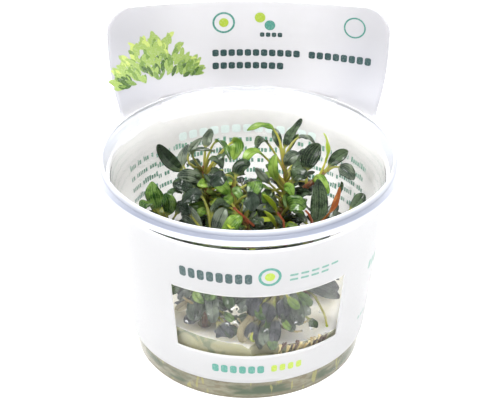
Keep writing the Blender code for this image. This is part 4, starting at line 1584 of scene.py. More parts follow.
@dataclass
class Plants:
    """Rhizomes with their small leaves, and the larger leaves one by one."""

    foot_height: float = 17.0
    foot_radius: float = 1.2
    tip_radius: float = 0.7
    bands: int = 44
    sides: int = 12
    spiral_turn_deg: float = 137.5
    spiral_reach: float = 9.0
    spiral_rise: float = 3.0
    spiral_width: float = 4.4
    spiral_stalk: float = 0.25
    crowd_per_turn: float = 8.5
    crowd_reach: float = 36.0
    crowd_bottom: float = 25.0
    crowd_bunching: float = 1.15
    crowd_out: Span = (4.0, 12.0)
    crowd_rise: Span = (-0.5, 5.0)
    crowd_dip: Span = (-3.5, 2.5)
    crowd_width: Span = (2.2, 4.6)
    crowd_stalk: Span = (0.22, 0.55)
    cut: LeafCut = field(default_factory=LeafCut)
    crowd_cut: LeafCut = field(default_factory=lambda: LeafCut(
        stalk_width=0.7, across=(-1.0, -0.6, -0.15, 0.0, 0.15, 0.6, 1.0), stalk_stops=(0.0, 0.5),
        blade_stops=(0.02, 0.1, 0.2, 0.33, 0.47, 0.61, 0.75, 0.87, 0.96)))
    skins: dict[Green, bpy.types.Material] = field(default_factory=dict)

    @property
    def stems(self) -> dict[str, tuple[Point, ...]]:
        """Points of each rhizome from its foot in the gel to its crown.

        Returns:
            The points, by the rhizome's name.
        """
        foot = self.foot_height
        return {
            "left": ((-12, 4, foot), (-12, 4, 28), (-11.5, 7, 40), (-13.5, 10.5, 48),
                     (-15, 12.5, 54), (-15.2, 14, 58.5)),
            "right": ((10.5, 1, foot), (10.5, 1, 28), (10.5, 4, 40), (12, 9, 48), (13, 12.5, 53.5),
                      (11.8, 17, 61)),
            "middle": ((3, -10, foot), (3, -10, 28), (2.5, -9.5, 40), (0, -7.5, 47), (-3.2, -4.5, 51),
                       (-5.2, -1.5, 54.5), (-4.5, 3, 59)),
            "outer": ((-27, -1, foot), (-27, -1, 28), (-28, 0, 38), (-29.5, 1.5, 45)),
            "front": ((-13, -14, foot), (-13, -14, 28), (-12.5, -13, 38), (-12, -11, 46)),
            "far": ((20, -9, foot), (20, -9, 28), (21, -8, 38), (22, -6, 46)),
            "pane_left": ((-14, -29, foot), (-14, -29, 28), (-14, -28.5, 34), (-13, -27, 40)),
            "pane_right": ((9, -28, foot), (9, -28, 28), (9.5, -27, 36), (11, -26, 41)),
            "back": ((-3, 24, foot), (-3, 24, 28), (-2, 24, 35), (0, 23.5, 41)),
        }

    @property
    def routes(self) -> dict[str, tuple[Point, ...]]:
        """Points of each rhizome and of the side shoot."""
        shoot = ((15.4, 10.4, 50.6), (17.5, 8.2, 51.6), (21, 8.5, 54.6), (24, 9.5, 56), (26.5, 11, 58.5))
        return {**self.stems, BRANCH: shoot}

    @cached_property
    def stem_skin(self) -> bpy.types.Material:
        """Material of every rhizome."""
        return StemSkin().make()

    def skin(self, green: Green) -> bpy.types.Material:
        """Material of a kind of leaf.

        Args:
            green: the kind.

        Returns:
            The material, made once.
        """
        if green not in self.skins:
            self.skins[green] = green.value.make()
        return self.skins[green]

    def along(self, name: str, share: float) -> Vector:
        """Point at a share of the way along the smooth curve through a route.

        Args:
            name: the route.
            share: how far along it.

        Returns:
            The point.
        """
        route = [Vector(p) for p in self.routes[name]]
        padded = [route[0] * 2.0 - route[1], *route, route[-1] * 2.0 - route[-2]]
        place = min(max(share, 0.0), 1.0) * (len(route) - 1)
        first = min(int(place), len(route) - 2)
        a, b, c, d = padded[first:first + 4]
        t = place - first
        return 0.5 * ((2.0 * b) + (c - a) * t + (2.0 * a - 5.0 * b + 4.0 * c - d) * t ** 2
                      + (3.0 * b - a - 3.0 * c + d) * t ** 3)

    def heading(self, name: str, share: float) -> Vector:
        """Direction of a route at a share of the way along it."""
        return (self.along(name, share + 0.02) - self.along(name, share - 0.02)).normalized()

    def radius(self, share: float) -> float:
        """Radius of a rhizome, which tapers towards its crown."""
        return mix(self.foot_radius, self.tip_radius, share)

    def share_at(self, name: str, height: float) -> float:
        """Find where a rising route reaches a height.

        Args:
            name: the route.
            height: the height.

        Returns:
            The share of the way along it.
        """
        low, high = 0.0, 1.0
        for _ in range(20):
            middle = (low + high) / 2.0
            if self.along(name, middle).z < height:
                low = middle
            else:
                high = middle
        return low

    def root_of(self, leaf: Leaf) -> Vector:
        """Point where a leaf's stalk leaves its rhizome.

        Args:
            leaf: the leaf.

        Returns:
            The point, just under the skin on the side that looks towards the leaf.
        """
        centre = self.along(leaf.stem, leaf.share)
        along = self.heading(leaf.stem, leaf.share)
        away = Vector(leaf.middle) - centre
        away = (away - along * away.dot(along)).normalized()
        return centre + away * self.radius(leaf.share) * 0.6

    def small_leaves(self, name: str) -> Iterator[tuple[Vector, Leaf]]:
        """Yield each small leaf of a rhizome with the point it grows from.

        Args:
            name: the rhizome.

        Yields:
            The root and the leaf.
        """
        greens = PANE_GREENS if name.startswith("pane") else YOUNG_GREENS
        for order, (owner, *row) in enumerate(YOUNG_LEAVES):
            if owner == name:
                green = greens[(order + 3) % len(greens)]
                yield self.along(name, row[0]), Leaf(f"young_{order}", name, *row, green)
        for row in EXTRA_LEAVES.get(name, ()):
            yield self.along(name, row[0]), Leaf("extra", name, *row)
        if name not in SPIRALS:
            return
        spiral = SPIRALS[name]
        rise = Vector((0.0, 0.0, self.spiral_rise))
        for order in range(spiral.count):
            if order in spiral.bare:
                continue
            height = mix(spiral.lowest, spiral.highest, order / (spiral.count - 1))
            share = self.share_at(name, height)
            base = self.along(name, share)
            out = on_ring(self.spiral_reach, spiral.first_deg + self.spiral_turn_deg * order, 0.0)
            yield base, Leaf(f"spiral_{order}", name, share, tuple(base + out * 0.55 + rise),
                             tuple(base + out + rise * 0.7), self.spiral_width, self.spiral_stalk, UP,
                             greens[order % len(greens)])

    def crowd(self, name: str) -> Iterator[tuple[Vector, Leaf]]:
        """Yield the little leaves that crowd between the small ones of a rhizome.

        Args:
            name: the rhizome.

        Yields:
            The root and the leaf.
        """
        if name not in SPIRALS:
            return
        dice = random.Random(f"crowd {name}")
        spiral = SPIRALS[name]
        pane = name.startswith("pane")
        greens = PANE_CROWD_GREENS if pane else CROWD_GREENS
        count = round(spiral.count * self.crowd_per_turn * (0.5 if pane else 1.0))
        for order in range(count):
            place = ((order + dice.random()) / count) ** self.crowd_bunching
            height = mix(spiral.lowest - 4.0, spiral.highest, place)
            share = self.share_at(name, height)
            base = self.along(name, share)
            out = on_ring(dice.uniform(*self.crowd_out), dice.uniform(0.0, 360.0), 0.0)
            rise = Vector((0.0, 0.0, dice.uniform(*self.crowd_rise)))
            dip = Vector((0.0, 0.0, dice.uniform(*self.crowd_dip)))
            tip = base + out + rise + dip
            if math.hypot(tip.x, tip.y) > self.crowd_reach or tip.z < self.crowd_bottom:
                continue
            facing = (dice.uniform(-0.5, 0.5), dice.uniform(-0.8, 0.3), 1.0)
            yield base, Leaf(f"crowd_{order}", name, share, tuple(base + out * 0.55 + rise), tuple(tip),
                             dice.uniform(*self.crowd_width), dice.uniform(*self.crowd_stalk), facing,
                             greens[dice.randrange(len(greens))])

    def build_stem(self, name: str) -> None:
        """Grow a rhizome with its small leaves as one piece.

        Args:
            name: the rhizome.
        """
        shape = bmesh.new()
        sections = []
        for band in range(self.bands + 1):
            share = band / self.bands
            centre = self.along(name, share)
            along = self.heading(name, share)
            side = along.cross(Vector((0.0, 1.0, 0.0))).normalized()
            other = side.cross(along)
            scar = 1.0 + 0.10 * math.sin(band * 2.1) if 0 < band < self.bands else 0.9
            radius = self.radius(share) * scar
            section = []
            for k in range(self.sides):
                turned = 2.0 * math.pi * k / self.sides
                lump = 1.0 + 0.10 * noise.noise(Vector((k * 0.9, band * 0.5, len(name))))
                section.append(centre + radius * lump * (math.cos(turned) * side + math.sin(turned) * other))
            sections.append(section)
        tube(shape, sections)
        dice = random.Random(name)
        order = list(Green)
        for cut, leaves in ((self.cut, self.small_leaves(name)), (self.crowd_cut, self.crowd(name))):
            for root, leaf in leaves:
                cut.grow(shape, root, leaf, 1 + order.index(leaf.green), dice)
        finishes = [self.stem_skin, *(self.skin(green) for green in order)]
        seat(shape, f"plant_{name}", finishes, "rhizome", [f"rhizome_{name}"], 50.0)

    def build_leaf(self, leaf: Leaf) -> None:
        """Grow one of the larger leaves.

        Args:
            leaf: the leaf.
        """
        shape = bmesh.new()
        self.cut.grow(shape, self.root_of(leaf), leaf, 0, random.Random(leaf.name))
        seat(shape, f"leaf_{leaf.name}", [self.skin(leaf.green)], leaf.green.slot, [leaf.name], 60.0)

    def build(self) -> None:
        """Grow every plant."""
        for name in self.routes:
            self.build_stem(name)
        for row in LEAVES:
            self.build_leaf(Leaf(*row))


BRANCH = "right_branch"

SPIRALS: dict[str, Spiral] = {
    "left": Spiral(13, 110, 30, 54, (11,)),
    "right": Spiral(13, 200, 30, 54, (11,)),
    "middle": Spiral(12, 200, 29, 51),
    "outer": Spiral(8, 20, 28, 43),
    "front": Spiral(11, 10, 29, 45, (10,)),
    "far": Spiral(11, 10, 29, 45),
    "pane_left": Spiral(5, 220, 27, 36),
    "pane_right": Spiral(5, 0, 27, 36, (4,)),
    "back": Spiral(9, 0, 28, 40),
}

YOUNG_GREENS = (DARK, GREEN, DARK, GREY, DARK, LIGHT)
PANE_GREENS = (SLATE, GREY, DARK, SLATE, GREEN)
CROWD_GREENS = (DARK, DARK, GREEN, GREY, DARK, LIGHT, GREEN, GREY, LIME)
PANE_CROWD_GREENS = (SLATE, DARK, GREY, SLATE, OLD, GREEN)

YOUNG_LEAVES: tuple[tuple[str, float, Point, Point, float, float, Point], ...] = (
    ("left", 0.93, (-20.5, 11.5, 62.5), (-15.5, 14, 69.5), 2.6, 0.62, FRONT_UP),
    ("left", 0.82, (-10.5, 18, 58), (-8, 22.5, 61), 2.8, 0.4, FRONT_UP),
    ("left", 0.44, (-14.5, -1, 50), (-16, -4.5, 49.5), 3.4, 0.4, FRONT_UP),
    ("right", 0.95, (10.5, 22, 63), (9, 26, 66.5), 3.2, 0.35, FRONT_UP),
    ("right", 0.9, (14.5, 20, 62.5), (17.5, 23, 66), 1.8, 0.4, FRONT),
    ("right", 0.84, (17, 19.5, 58.5), (21, 24, 59), 3.6, 0.35, UP),
    ("right", 0.62, (6, 10, 55.5), (2.5, 12.5, 58.5), 2.8, 0.35, FRONT_UP),
    ("right", 0.56, (17.5, 4, 53.5), (20.5, 2.5, 54.5), 2.8, 0.35, FRONT_UP),
    ("right", 0.5, (6.5, -3, 55), (5, -3, 58.5), 1.8, 0.4, FRONT),
    ("middle", 0.45, (11, -10, 49.5), (5.5, -9.5, 54), 1.8, 0.35, FRONT),
    ("outer", 0.94, (-26, 5, 52.5), (-22.5, 6, 52), 3.4, 0.35, UP),
    ("outer", 0.76, (-23.5, 3.5, 47.5), (-22.5, 5.5, 50), 3.2, 0.35, FRONT_UP),
    ("far", 0.85, (27, -3, 49.5), (30.5, 0, 51), 4.0, 0.25, FRONT_UP),
    ("far", 0.9, (30, 4, 52), (31.5, 6, 57), 1.4, 0.3, FRONT),
    ("back", 1.0, (-7, 27, 45), (-13, 29, 42), 4.0, 0.3, BACK_UP),
    ("back", 0.95, (6, 27, 45), (11, 29, 41.5), 4.0, 0.3, BACK_UP),
)

LEAVES: tuple[tuple[object, ...], ...] = (
    ("left_long", "left", 0.9, (-23.5, 12, 58.5), (-30.5, 12, 68), 4.9, 0.42, FRONT_UP, DARK),
    ("left_slate", "left", 0.8, (-22.5, 16, 57.5), (-20.5, 20, 63.5), 5.3, 0.45, FRONT_LEFT, GREY),
    ("left_crown", "left", 1.0, (-14.5, 16.5, 65), (-12.5, 20, 69.5), 3.7, 0.45, FRONT, GREY),
    ("left_arch", "left", 0.93, (-18.5, 9, 66.5), (-11, 8, 67.5), 3.2, 0.4, UP, GREY),
    ("left_hook", "left", 0.96, (-10.5, 12.5, 69), (-6, 6, 65), 3.0, 0.42, RIGHT_UP, GREEN),
    ("left_heart", "left", 0.88, (-5.5, 16, 66.5), (-5, 12.5, 61.5), 5.6, 0.5, FRONT, LIGHT),
    ("left_ribbed", "left", 0.86, (-12, 6, 66.5), (-8.5, 2.5, 64), 5.0, 0.35, FRONT_RIGHT, DARK),
    ("left_round", "left", 0.75, (-12.5, 5, 61), (-10.5, -1, 59), 6.1, 0.4, FRONT_UP, DARK),
    ("left_wide", "left", 0.7, (-18.5, 8, 57.5), (-24, 6, 59), 5.0, 0.15, FRONT_UP, GREY),
    ("left_low", "left", 0.56, (-20, 6, 54.5), (-25.5, 5.5, 56), 5.2, 0.25, FRONT_UP, DARK),
    ("left_twist", "left", 0.66, (-13, 3, 58), (-17, 0, 59), 3.9, 0.4, FRONT_UP, LIGHT),
    ("left_under", "left", 0.5, (-17.5, 3, 53.5), (-21.5, -0.5, 52), 5.8, 0.3, FRONT_UP, DARK),
    ("right_tall", "right", 1.0, (13.5, 20, 65), (18.5, 25, 71), 4.2, 0.3, FRONT_LEFT, DARK),
    ("right_sickle", "right", 0.93, (8.5, 19, 70), (-0.5, 18, 70), 3.2, 0.45, UP, LIGHT),
    ("right_curl", "right", 0.88, (6, 14, 68), (3, 11, 67), 4.8, 0.4, UP, DARK),
    ("right_bow", "right", 0.97, (17.5, 18, 67.5), (23.5, 15.5, 65), 3.0, 0.45, RIGHT_UP, GREY),
    ("right_broad", BRANCH, 0.45, (20.5, 11.5, 62), (24.5, 14, 67), 6.3, 0.25, FRONT_UP, DARK),
    ("right_pale", "right", 0.8, (13.5, 9.5, 63), (17.5, 9.5, 65.5), 4.5, 0.3, FRONT_UP, GREY),
    ("right_glossy", "right", 0.62, (16, 4.5, 60), (19.5, 3, 60), 5.8, 0.35, FRONT_UP, DARK),
    ("right_nod", "right", 0.75, (4, 8.5, 66.5), (-1.5, 4, 65), 4.5, 0.4, UP, LIGHT),
    ("right_blade", "right", 0.68, (8.5, 5, 61.5), (9.5, 7, 67), 3.5, 0.25, FRONT, LIGHT),
    ("right_tongue", "right", 0.56, (13, 2.5, 57), (15, -1, 55), 3.7, 0.35, FRONT_UP, LIGHT),
    ("right_apron", "right", 0.44, (14.5, -3, 53.5), (19, -5, 53), 5.8, 0.35, FRONT_UP, GREEN),
    ("side_lime", BRANCH, 0.79, (27, 12.8, 65), (25.5, 15.5, 70.5), 2.6, 0.25, RIGHT_UP, LIME),
    ("side_dark", BRANCH, 0.94, (29.5, 11.8, 62.4), (34, 13, 65), 4.3, 0.2, FRONT_UP, DARK),
    ("side_round", BRANCH, 1.0, (31, 10.5, 60), (36, 8, 56.5), 5.3, 0.45, FRONT_UP, GREY),
    ("side_droop", BRANCH, 0.6, (23.5, 5, 59), (27, 0.5, 55.5), 4.2, 0.25, FRONT_UP, LIGHT),
    ("middle_fold", "middle", 0.95, (-3, 3, 63.5), (0.5, 1, 66), 5.8, 0.25, FRONT_UP, DARK),
    ("middle_shoulder", "middle", 0.9, (2, -1.5, 61), (0, -5.5, 58), 5.8, 0.4, UP, GREEN),
    ("middle_green", "middle", 0.72, (-4, -4, 59.5), (-1.5, -7, 56.5), 3.4, 0.25, FRONT_UP, GREEN),
    ("middle_cape", "middle", 0.59, (1.5, -4, 56.9), (-1.5, -9, 54), 4.6, 0.35, FRONT_UP, DARK),
    ("middle_pale", "middle", 0.8, (-8, -2, 59.5), (-12.5, -2, 61.5), 4.5, 0.15, FRONT_UP, LIGHT),
    ("outer_oval", "outer", 1.0, (-31.5, 3.5, 51), (-32.5, 6, 57), 6.3, 0.2, FRONT, GREEN),
    ("outer_curl", "outer", 0.8, (-33, 0, 51), (-35, -3, 51), 5.3, 0.35, UP, GREEN),
    ("outer_green", "outer", 0.92, (-26.5, 0, 51), (-28, 0.5, 55.5), 5.3, 0.2, FRONT, GREEN),
    ("front_slate", "front", 0.85, (-18.5, -8, 51), (-22, -5, 50), 5.5, 0.2, FRONT_UP, GREY),
    ("front_arch", "front", 1.0, (-11, -7, 55), (-6, -8, 55.5), 5.0, 0.3, UP, DARK),
    ("front_oval", "front", 0.92, (-9.5, -11, 52), (-7.5, -9.5, 56), 5.0, 0.2, FRONT_UP, GREY),
    ("front_light", "front", 0.8, (-6, -14, 52), (-2, -12.5, 55), 5.3, 0.2, FRONT_UP, LIGHT),
    ("tall_dark", "far", 1.0, (23.5, -5, 54), (23, -0.5, 62), 6.0, 0.1, FRONT, DARK),
    ("far_right", "far", 0.75, (34, -3.5, 51.5), (38.5, 0, 56), 4.2, 0.5, FRONT_UP, DARK),
    ("pane_round", "pane_left", 0.9, (-16, -33, 35), (-17, -37, 31), 6.3, 0.2, FRONT, DARK),
    ("pane_hanging", "pane_left", 1.0, (-11.5, -34, 37), (-11, -37.5, 30.5), 4.5, 0.3, FRONT, GREY),
    ("pane_low", "pane_right", 0.8, (7.5, -36, 31), (8.5, -39, 21), 4.2, 0.25, FRONT, GREEN),
    ("pane_deep", "pane_right", 0.65, (4.1, -35.5, 28), (4.2, -38.8, 20.8), 3.4, 0.2, FRONT, DARK),
    ("pane_right", "pane_right", 0.95, (14, -33, 36), (17, -36.5, 29), 5.5, 0.3, FRONT, DARK),
    ("pane_lean", "far", 0.62, (24.5, -25, 38), (28.5, -27.5, 35), 6.1, 0.4, FRONT_UP, DARK),
)

EXTRA_LEAVES: dict[str, tuple[tuple[object, ...], ...]] = {
    "pane_left": (
        (0.55, (-9.2, -37, 29.6), (-6.4, -38.4, 25.6), 6.8, 0.5, FRONT, SLATE),
        (0.55, (-7.2, -36.6, 29.4), (-4.4, -38.2, 25.8), 4.4, 0.55, FRONT_RIGHT, DARK),
        (1.0, (-21, -30.5, 41), (-25.5, -30.5, 37), 4.0, 0.5, FRONT, GREEN),
        (0.9, (-18, -31, 39), (-22, -32.5, 36), 3.2, 0.5, FRONT, GREY),
        (0.8, (-19.5, -32.5, 35), (-22.5, -33.5, 32.5), 3.0, 0.5, FRONT, OLD),
        (0.95, (-14.5, -30, 40), (-15.5, -33, 37.5), 3.6, 0.45, FRONT, GREEN),
        (1.0, (-12, -32, 40), (-12.2, -35, 37.2), 4.4, 0.5, FRONT, GREEN),
        (0.9, (-7.5, -32, 37.5), (-5.6, -35, 34.2), 4.0, 0.45, FRONT, GREEN),
        (0.6, (-8, -34, 32), (-4.6, -36.4, 30.6), 2.6, 0.5, FRONT, GREEN),
        (0.95, (-9, -28.5, 39), (-4.5, -31, 36.5), 4.5, 0.4, FRONT, DARK),
        (0.4, (-18, -34, 36), (-20.5, -34.5, 38.5), 1.0, 0.9, FRONT, OLD),
        (0.9, (-16.5, -32.5, 38.5), (-13.8, -34.5, 36.2), 3.0, 0.4, FRONT_UP, LIGHT),
    ),
    "pane_right": (
        (0.6, (0.4, -36.5, 30.6), (-1.2, -38.6, 23.8), 4.6, 0.4, FRONT, OLD),
        (0.85, (2.5, -33.5, 37.5), (1.0, -36, 32.4), 6.4, 0.4, FRONT_LEFT, SLATE),
        (0.8, (0.5, -33, 36), (-1.8, -36, 33.4), 4.0, 0.5, FRONT, GREY),
        (0.7, (6.8, -34.5, 35), (5.6, -37, 30.4), 6.2, 0.4, FRONT, SLATE),
        (0.6, (8.8, -37.5, 30.5), (8.4, -39.2, 24.8), 3.8, 0.4, FRONT, SLATE),
        (0.5, (2.4, -37, 29.5), (1.5, -39, 25.0), 4.8, 0.45, FRONT, SLATE),
        (0.5, (5.4, -38, 28.4), (5.6, -39.3, 24.0), 3.8, 0.4, FRONT, GREY),
        (0.8, (11.4, -33, 36), (11.1, -36, 31.3), 5.2, 0.4, FRONT, SLATE),
        (0.7, (11.8, -34, 33), (12.6, -36.6, 29.2), 4.4, 0.4, FRONT_RIGHT, DARK),
        (0.9, (16.6, -32.5, 37.5), (19.2, -34, 34.5), 5.0, 0.4, FRONT, GREEN),
        (0.75, (16.6, -34, 34.4), (18.9, -35, 31.8), 4.4, 0.45, FRONT, GREY),
        (0.5, (12.4, -35, 29.4), (15.2, -36.8, 27.8), 3.4, 0.4, FRONT, DARK),
        (0.55, (18.4, -34.4, 31), (21.4, -36, 27.6), 3.4, 0.6, FRONT, DARK),
        (1.0, (19.5, -29, 39.4), (29.6, -28.4, 34.2), 4.4, 0.3, FRONT_UP, GREY),
        (0.95, (20.5, -30, 37), (25.7, -34, 26.1), 0.9, 0.97, FRONT, LIME),
        (0.65, (0, -34.5, 32), (-3.4, -36.5, 30.6), 2.8, 0.5, FRONT, DARK),
        (0.95, (0, -30, 38), (-4, -33, 34.5), 4.5, 0.4, FRONT, DARK),
        (1.0, (6, -29, 40), (1, -31.5, 37.5), 4.5, 0.4, FRONT, DARK),
        (0.9, (13, -31.5, 38.5), (14.5, -35, 35), 4.4, 0.4, FRONT, GREY),
        (0.3, (0.5, -35.5, 28), (-3.2, -36, 32), 0.9, 0.9, FRONT, OLD),
        (0.3, (14.5, -35, 28.6), (19.5, -35.5, 30.2), 1.0, 0.9, FRONT, OLD),
        (0.2, (13.5, -36, 26.4), (17.5, -37, 27.2), 0.9, 0.9, FRONT, OLD),
        (0.5, (1.9, -38.2, 28.0), (2.2, -39.3, 24.6), 1.0, 0.6, FRONT, LIME),
        (0.8, (13.5, -34.5, 37.5), (16.4, -36, 35.6), 3.0, 0.4, FRONT_UP, LIGHT),
        (0.7, (3.6, -36, 35.0), (5.6, -37.5, 32.6), 2.6, 0.4, FRONT_UP, GREEN),
        (0.45, (11.5, -36.5, 30.5), (13.6, -38, 28.8), 2.2, 0.4, FRONT_UP, LIGHT),
    ),
    "middle": (
        (0.62, (2.2, -12, 50.5), (-4.8, -12, 57.9), 1.1, 0.97, FRONT, RED),
        (0.45, (11.4, -12.5, 49), (9.5, -12, 56.2), 1.1, 0.97, FRONT, RED),
        (0.75, (-0.3, -12.5, 62.6), (1.8, -15, 58.4), 5.4, 0.5, FRONT, DEEP),
        (1.0, (-7.2, -7.5, 67.4), (-11.9, -10, 65), 4.8, 0.5, FRONT_UP, DEEP),
    ),
    "far": (
        (0.75, (21, -14, 53), (18.4, -15, 58.8), 1.0, 0.97, FRONT, RED),
        (1.0, (28.0, -8.2, 55.5), (29.8, -8, 63.4), 2.4, 0.35, FRONT_LEFT, ORANGE),
    ),
    "right": (
        (0.35, (9.4, -4.5, 52), (4.9, -9, 61), 1.8, 0.5, FRONT, LIME),
        (0.28, (9.3, -8, 48), (5.2, -13.5, 57.6), 1.7, 0.5, FRONT, LIME),
    ),
    "front": (
        (1.0, (-14.9, -10.5, 60.8), (-21, -13, 60), 4.4, 0.5, FRONT_UP, DEEP),
        (0.9, (-19.5, -8.5, 53.4), (-22.6, -7.5, 55.6), 3.6, 0.4, FRONT_UP, DEEP),
    ),
    "left": (
        (0.6, (-18, -6, 61.2), (-24.4, -6.5, 63.8), 4.2, 0.45, FRONT_UP, DEEP),
    ),
}


class RootKind(Enum):
    """Kinds of root."""

    THREAD = RootSkin("skin", (0.42, 0.36, 0.16), (0.20, 0.19, 0.06))
    CREAM = RootSkin("cream", (0.66, 0.56, 0.27), (0.42, 0.30, 0.10))
    BROWN = RootSkin("brown", (0.10, 0.042, 0.022), (0.035, 0.02, 0.012))
    # white of the two curls, roots that also serve as painted glints
    WHITE = RootSkin("white", (0.95, 0.94, 0.88), (0.80, 0.76, 0.62))


@dataclass
class Roots:
    """Root threads in the gel under each rhizome, and short thick roots by the window."""

    gel: Gel
    radius: float = 0.28
    sides: int = 6
    per_plant: int = 6
    steps: int = 14
    seed: int = 11
    drop: Span = (0.5, 1.5)
    lowest: float = 3.4
    reach: float = 36.0
    stub_radius: float = 0.48
    stub_ring: float = 40.05
    stub_count: int = 30
    stub_from_deg: float = 165.0
    stub_to_deg: float = 140.5
    stub_top: float = 23.3
    stub_length: Span = (3.4, 6.4)
    stub_lean: Span = (-0.1, 1.0)
    stub_bend: Span = (-0.12, 0.16)
    stub_depth: Span = (-0.1, 0.2)
    stub_widths: Span = (0.65, 1.5)
    dark_share: float = 0.52
    level: float = 22.0
    # the white curls: roots that also stand in for curved white glints, painted highlights
    glint_curl_radius: float = 0.34
    glint_curls: tuple[tuple[Point, ...], ...] = (
        ((-5.2, -36.4, 35.0), (-4.3, -36.5, 35.9), (-3.2, -36.5, 36.2), (-2.8, -36.5, 35.3),
         (-3.6, -36.4, 34.2)),
        ((-5.2, -37.3, 30.2), (-4.1, -37.4, 30.9), (-3.2, -37.4, 30.2), (-3.0, -37.3, 29.2)))

    def thread(self, shape: bmesh.types.BMesh, points: Sequence[Vector], radius: float,
               finish: int = 0) -> None:
        """Skin one thread.

        Args:
            shape: mesh that takes it.
            points: points of its middle.
            radius: its radius at the start.
            finish: number of its finish.
        """
        turns = [2.0 * math.pi * k / self.sides for k in range(self.sides)]
        sections = []
        for k, centre in enumerate(points):
            ahead = points[min(k + 1, len(points) - 1)] - points[max(k - 1, 0)]
            side = ahead.cross(Vector((0.3, 0.2, 1.0))).normalized()
            other = side.cross(ahead.normalized())
            width = radius * mix(1.0, 0.35, k / (len(points) - 1))
            sections.append([centre + width * (math.cos(t) * side + math.sin(t) * other) for t in turns])
        tube(shape, sections, finish)

    def threads(self) -> None:
        """Grow the root threads of every plant."""
        shape = bmesh.new()
        dice = random.Random(self.seed)
        for points in self.gel.plants.stems.values():
            foot = Vector(points[0])
            for order in range(self.per_plant):
                heading = on_ring(1.0, 360.0 * (order + dice.random()) / self.per_plant, 0.0)
                place = foot + heading * 0.4 - Vector((0.0, 0.0, 0.6))
                line = [place]
                drop = dice.uniform(*self.drop)
                for _ in range(self.steps):
                    wander = Vector((dice.uniform(-0.5, 0.5), dice.uniform(-0.5, 0.5),
                                     dice.uniform(-0.35, 0.25)))
                    place = place + heading * 1.3 + wander - Vector((0.0, 0.0, drop))
                    place.z = max(place.z, self.lowest + 0.02 * len(line))
                    flat = Vector((place.x, place.y))
                    if flat.length > self.reach:
                        flat = flat * (self.reach / flat.length)
                    place = Vector((flat.x, flat.y, place.z))
                    line.append(place)
                self.thread(shape, line, self.radius)
        seat(shape, "root_threads", [RootKind.THREAD.value.make()], "rhizome", crease_deg=70.0)

    def stubs(self) -> None:
        """Grow the row of short roots against the wall, cream and dark, and two white curls, roots that also
        stand in for curved white glints as painted highlights.
        """
        shape = bmesh.new()
        dice = random.Random(self.seed + 1)
        for order in range(self.stub_count):
            share = order / (self.stub_count - 1)
            degrees = mix(self.stub_from_deg, self.stub_to_deg, share) + dice.uniform(-0.45, 0.45)
            lower = self.gel.tilt * self.stub_ring * math.sin(math.radians(degrees))
            top = self.stub_top - lower + dice.uniform(-1.3, 1.1)
            length, lean = dice.uniform(*self.stub_length), dice.uniform(*self.stub_lean)
            bend, deep = dice.uniform(*self.stub_bend), dice.uniform(*self.stub_depth)
            taper = self.gel.cup.taper
            line = [on_ring(self.stub_ring - deep + taper * (top - self.level - length * k / 4),
                            degrees + k * (lean + bend * k), top - length * k / 4) for k in range(5)]
            radius = self.stub_radius * dice.uniform(*self.stub_widths)
            self.thread(shape, line, radius, int(dice.random() < self.dark_share))
        # white curls: painted glints as well as roots
        for curl in self.glint_curls:
            self.thread(shape, [Vector(point) for point in curl], self.glint_curl_radius, 2)
        finishes = [kind.value.make() for kind in (RootKind.CREAM, RootKind.BROWN, RootKind.WHITE)]
        seat(shape, "root_stubs", finishes, "rhizome", crease_deg=70.0)

    def build(self) -> None:
        """Grow all roots."""
        self.threads()
        self.stubs()


@dataclass
class Droplets:
    """Drops of water that cling to the inner wall above the gel."""

    cup: Cup
    sag: float = 0.25
    flatness: float = 0.5
    places: tuple[Point, ...] = (
        (158.5, 31.6, 0.55), (150.0, 27.6, 0.9), (146.8, 33.5, 0.5), (172.5, 30.0, 0.45), (189.0, 33.0, 0.6),
        (186.2, 33.6, 0.4), (143.0, 29.5, 0.4), (208.0, 30.5, 0.5), (197.0, 36.0, 0.35), (153.0, 35.5, 0.35))

    def build(self) -> None:
        """Bead the wall with drops and dress them."""
        shape = bmesh.new()
        for degrees, height, radius in self.places:
            centre = on_ring(self.cup.wall_radius(height) - self.cup.wall - 0.1, degrees, height)
            drop = bmesh.ops.create_icosphere(shape, subdivisions=3, radius=radius)
            inward = on_ring(1.0, degrees, 0.0)
            for corner in drop["verts"]:
                flat = corner.co.dot(inward)
                wider = 1.0 - self.sag * corner.co.z / radius
                corner.co = centre + (corner.co - inward * flat * self.flatness) * wider
        drops = seat(shape, "water_drops", [Water().make()], "gel", crease_deg=80.0)
        drops.visible_shadow = False


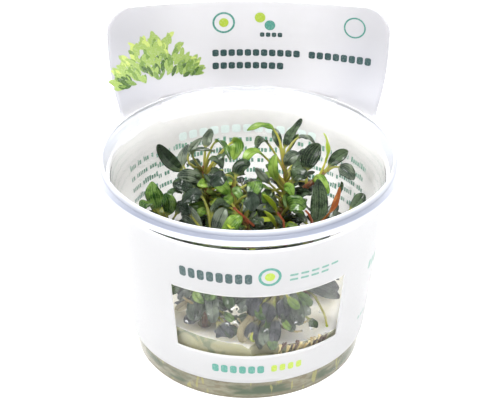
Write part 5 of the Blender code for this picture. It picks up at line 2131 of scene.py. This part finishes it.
@dataclass
class Studio:
    """Pale floor, soft light and the camera."""

    camera_at: Point = (0.0, -0.35802, 0.27438)
    pitch_deg: float = 31.69
    roll_deg: float = -0.17
    lens: float = 90.35
    horizon: float = 0.95
    zenith: float = 0.28
    sky_rise: Span = (0.05, 0.75)
    floor_reach: float = 3.0
    floor_gap: float = 0.0002
    aim: Point = (0.0, 0.0, 0.05)
    lamps: tuple[tuple[str, Point, float, float], ...] = (
        ("key_lamp", (0.05, -0.3, 1.0), 0.42, 11.0), ("overhead_lamp", (0.0, 0.1, 1.2), 1.0, 3.0),
        ("left_lamp", (-1.0, -0.35, 0.9), 0.6, 8.5), ("right_lamp", (0.9, -0.95, 0.45), 0.8, 3.6))

    def floor(self) -> None:
        """Lay a wide pale floor under the cup."""
        mesh, reach = bpy.data.meshes.new("floor"), self.floor_reach
        corners = [(x * reach, y * reach, 0.0) for x, y in ((-1, -1), (1, -1), (1, 1), (-1, 1))]
        mesh.from_pydata(corners, [], [(0, 1, 2, 3)])
        mesh.materials.append(PaleFloor().make())
        floor = link("floor", mesh)
        floor.location.z = -self.floor_gap
        floor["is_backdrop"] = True

    def sky(self) -> None:
        """Fill the room with white light, brightest near the horizon as in a light tent."""
        world = bpy.data.worlds.new("room")
        world.use_nodes = True
        tree = world.node_tree
        place = tree.nodes.new("ShaderNodeTexCoord")
        axes = tree.nodes.new("ShaderNodeSeparateXYZ")
        fall = tree.nodes.new("ShaderNodeMapRange")
        names = ("From Min", "From Max", "To Min", "To Max")
        for name, value in zip(names, (*self.sky_rise, self.horizon, self.zenith)):
            fall.inputs[name].default_value = value
        tree.links.new(place.outputs["Generated"], axes.inputs[0])
        tree.links.new(axes.outputs["Z"], fall.inputs["Value"])
        tree.links.new(fall.outputs["Result"], tree.nodes["Background"].inputs["Strength"])
        tree.nodes["Background"].inputs["Color"].default_value = (1.0, 1.0, 1.0, 1.0)
        bpy.context.scene.world = world
        bpy.context.scene.view_settings.view_transform = "Standard"

    def lamp(self, name: str, place: Point, size: float, power: float) -> None:
        """Hang a soft lamp that looks at the cup.

        Args:
            name: its name.
            place: where it hangs, in metres.
            size: width of its square, in metres.
            power: its power, in watts.
        """
        light = bpy.data.lights.new(name, "AREA")
        light.size = size
        light.energy = power
        lamp = link(name, light)
        lamp.location = place
        lamp.rotation_euler = (Vector(self.aim) - Vector(place)).to_track_quat("-Z", "Y").to_euler()

    def camera(self) -> None:
        """Stand the camera where the picture was taken from."""
        view = bpy.data.cameras.new("camera")
        view.lens = self.lens
        view.sensor_width = 36.0
        view.clip_start = 0.01
        camera = link("camera", view)
        camera.location = self.camera_at
        camera.rotation_euler = (math.radians(90.0 - self.pitch_deg), math.radians(self.roll_deg), 0.0)
        bpy.context.scene.camera = camera

    def build(self) -> None:
        """Set up the studio."""
        self.floor()
        self.sky()
        for lamp in self.lamps:
            self.lamp(*lamp)
        self.camera()


def main() -> None:
    """Dress the cup piece by piece."""
    logging.basicConfig(level=logging.INFO, format="%(name)s: %(message)s")
    solid_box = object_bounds()
    Studio().build()
    cup = Cup()
    plants = Plants()
    film = Film(cup)
    gel = Gel(cup, plants)
    cup.build()
    film.build()
    Prints(film).build()
    gel.build()
    plants.build()
    Roots(gel).build()
    Droplets(cup).build()
    shown_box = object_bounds()
    sizes = {"cad": [list(corner) for corner in solid_box], "visual": [list(corner) for corner in shown_box]}
    LOG.info("solid box %s, shown box %s", sizes["cad"], sizes["visual"])


if __name__ == "__main__":
    main()
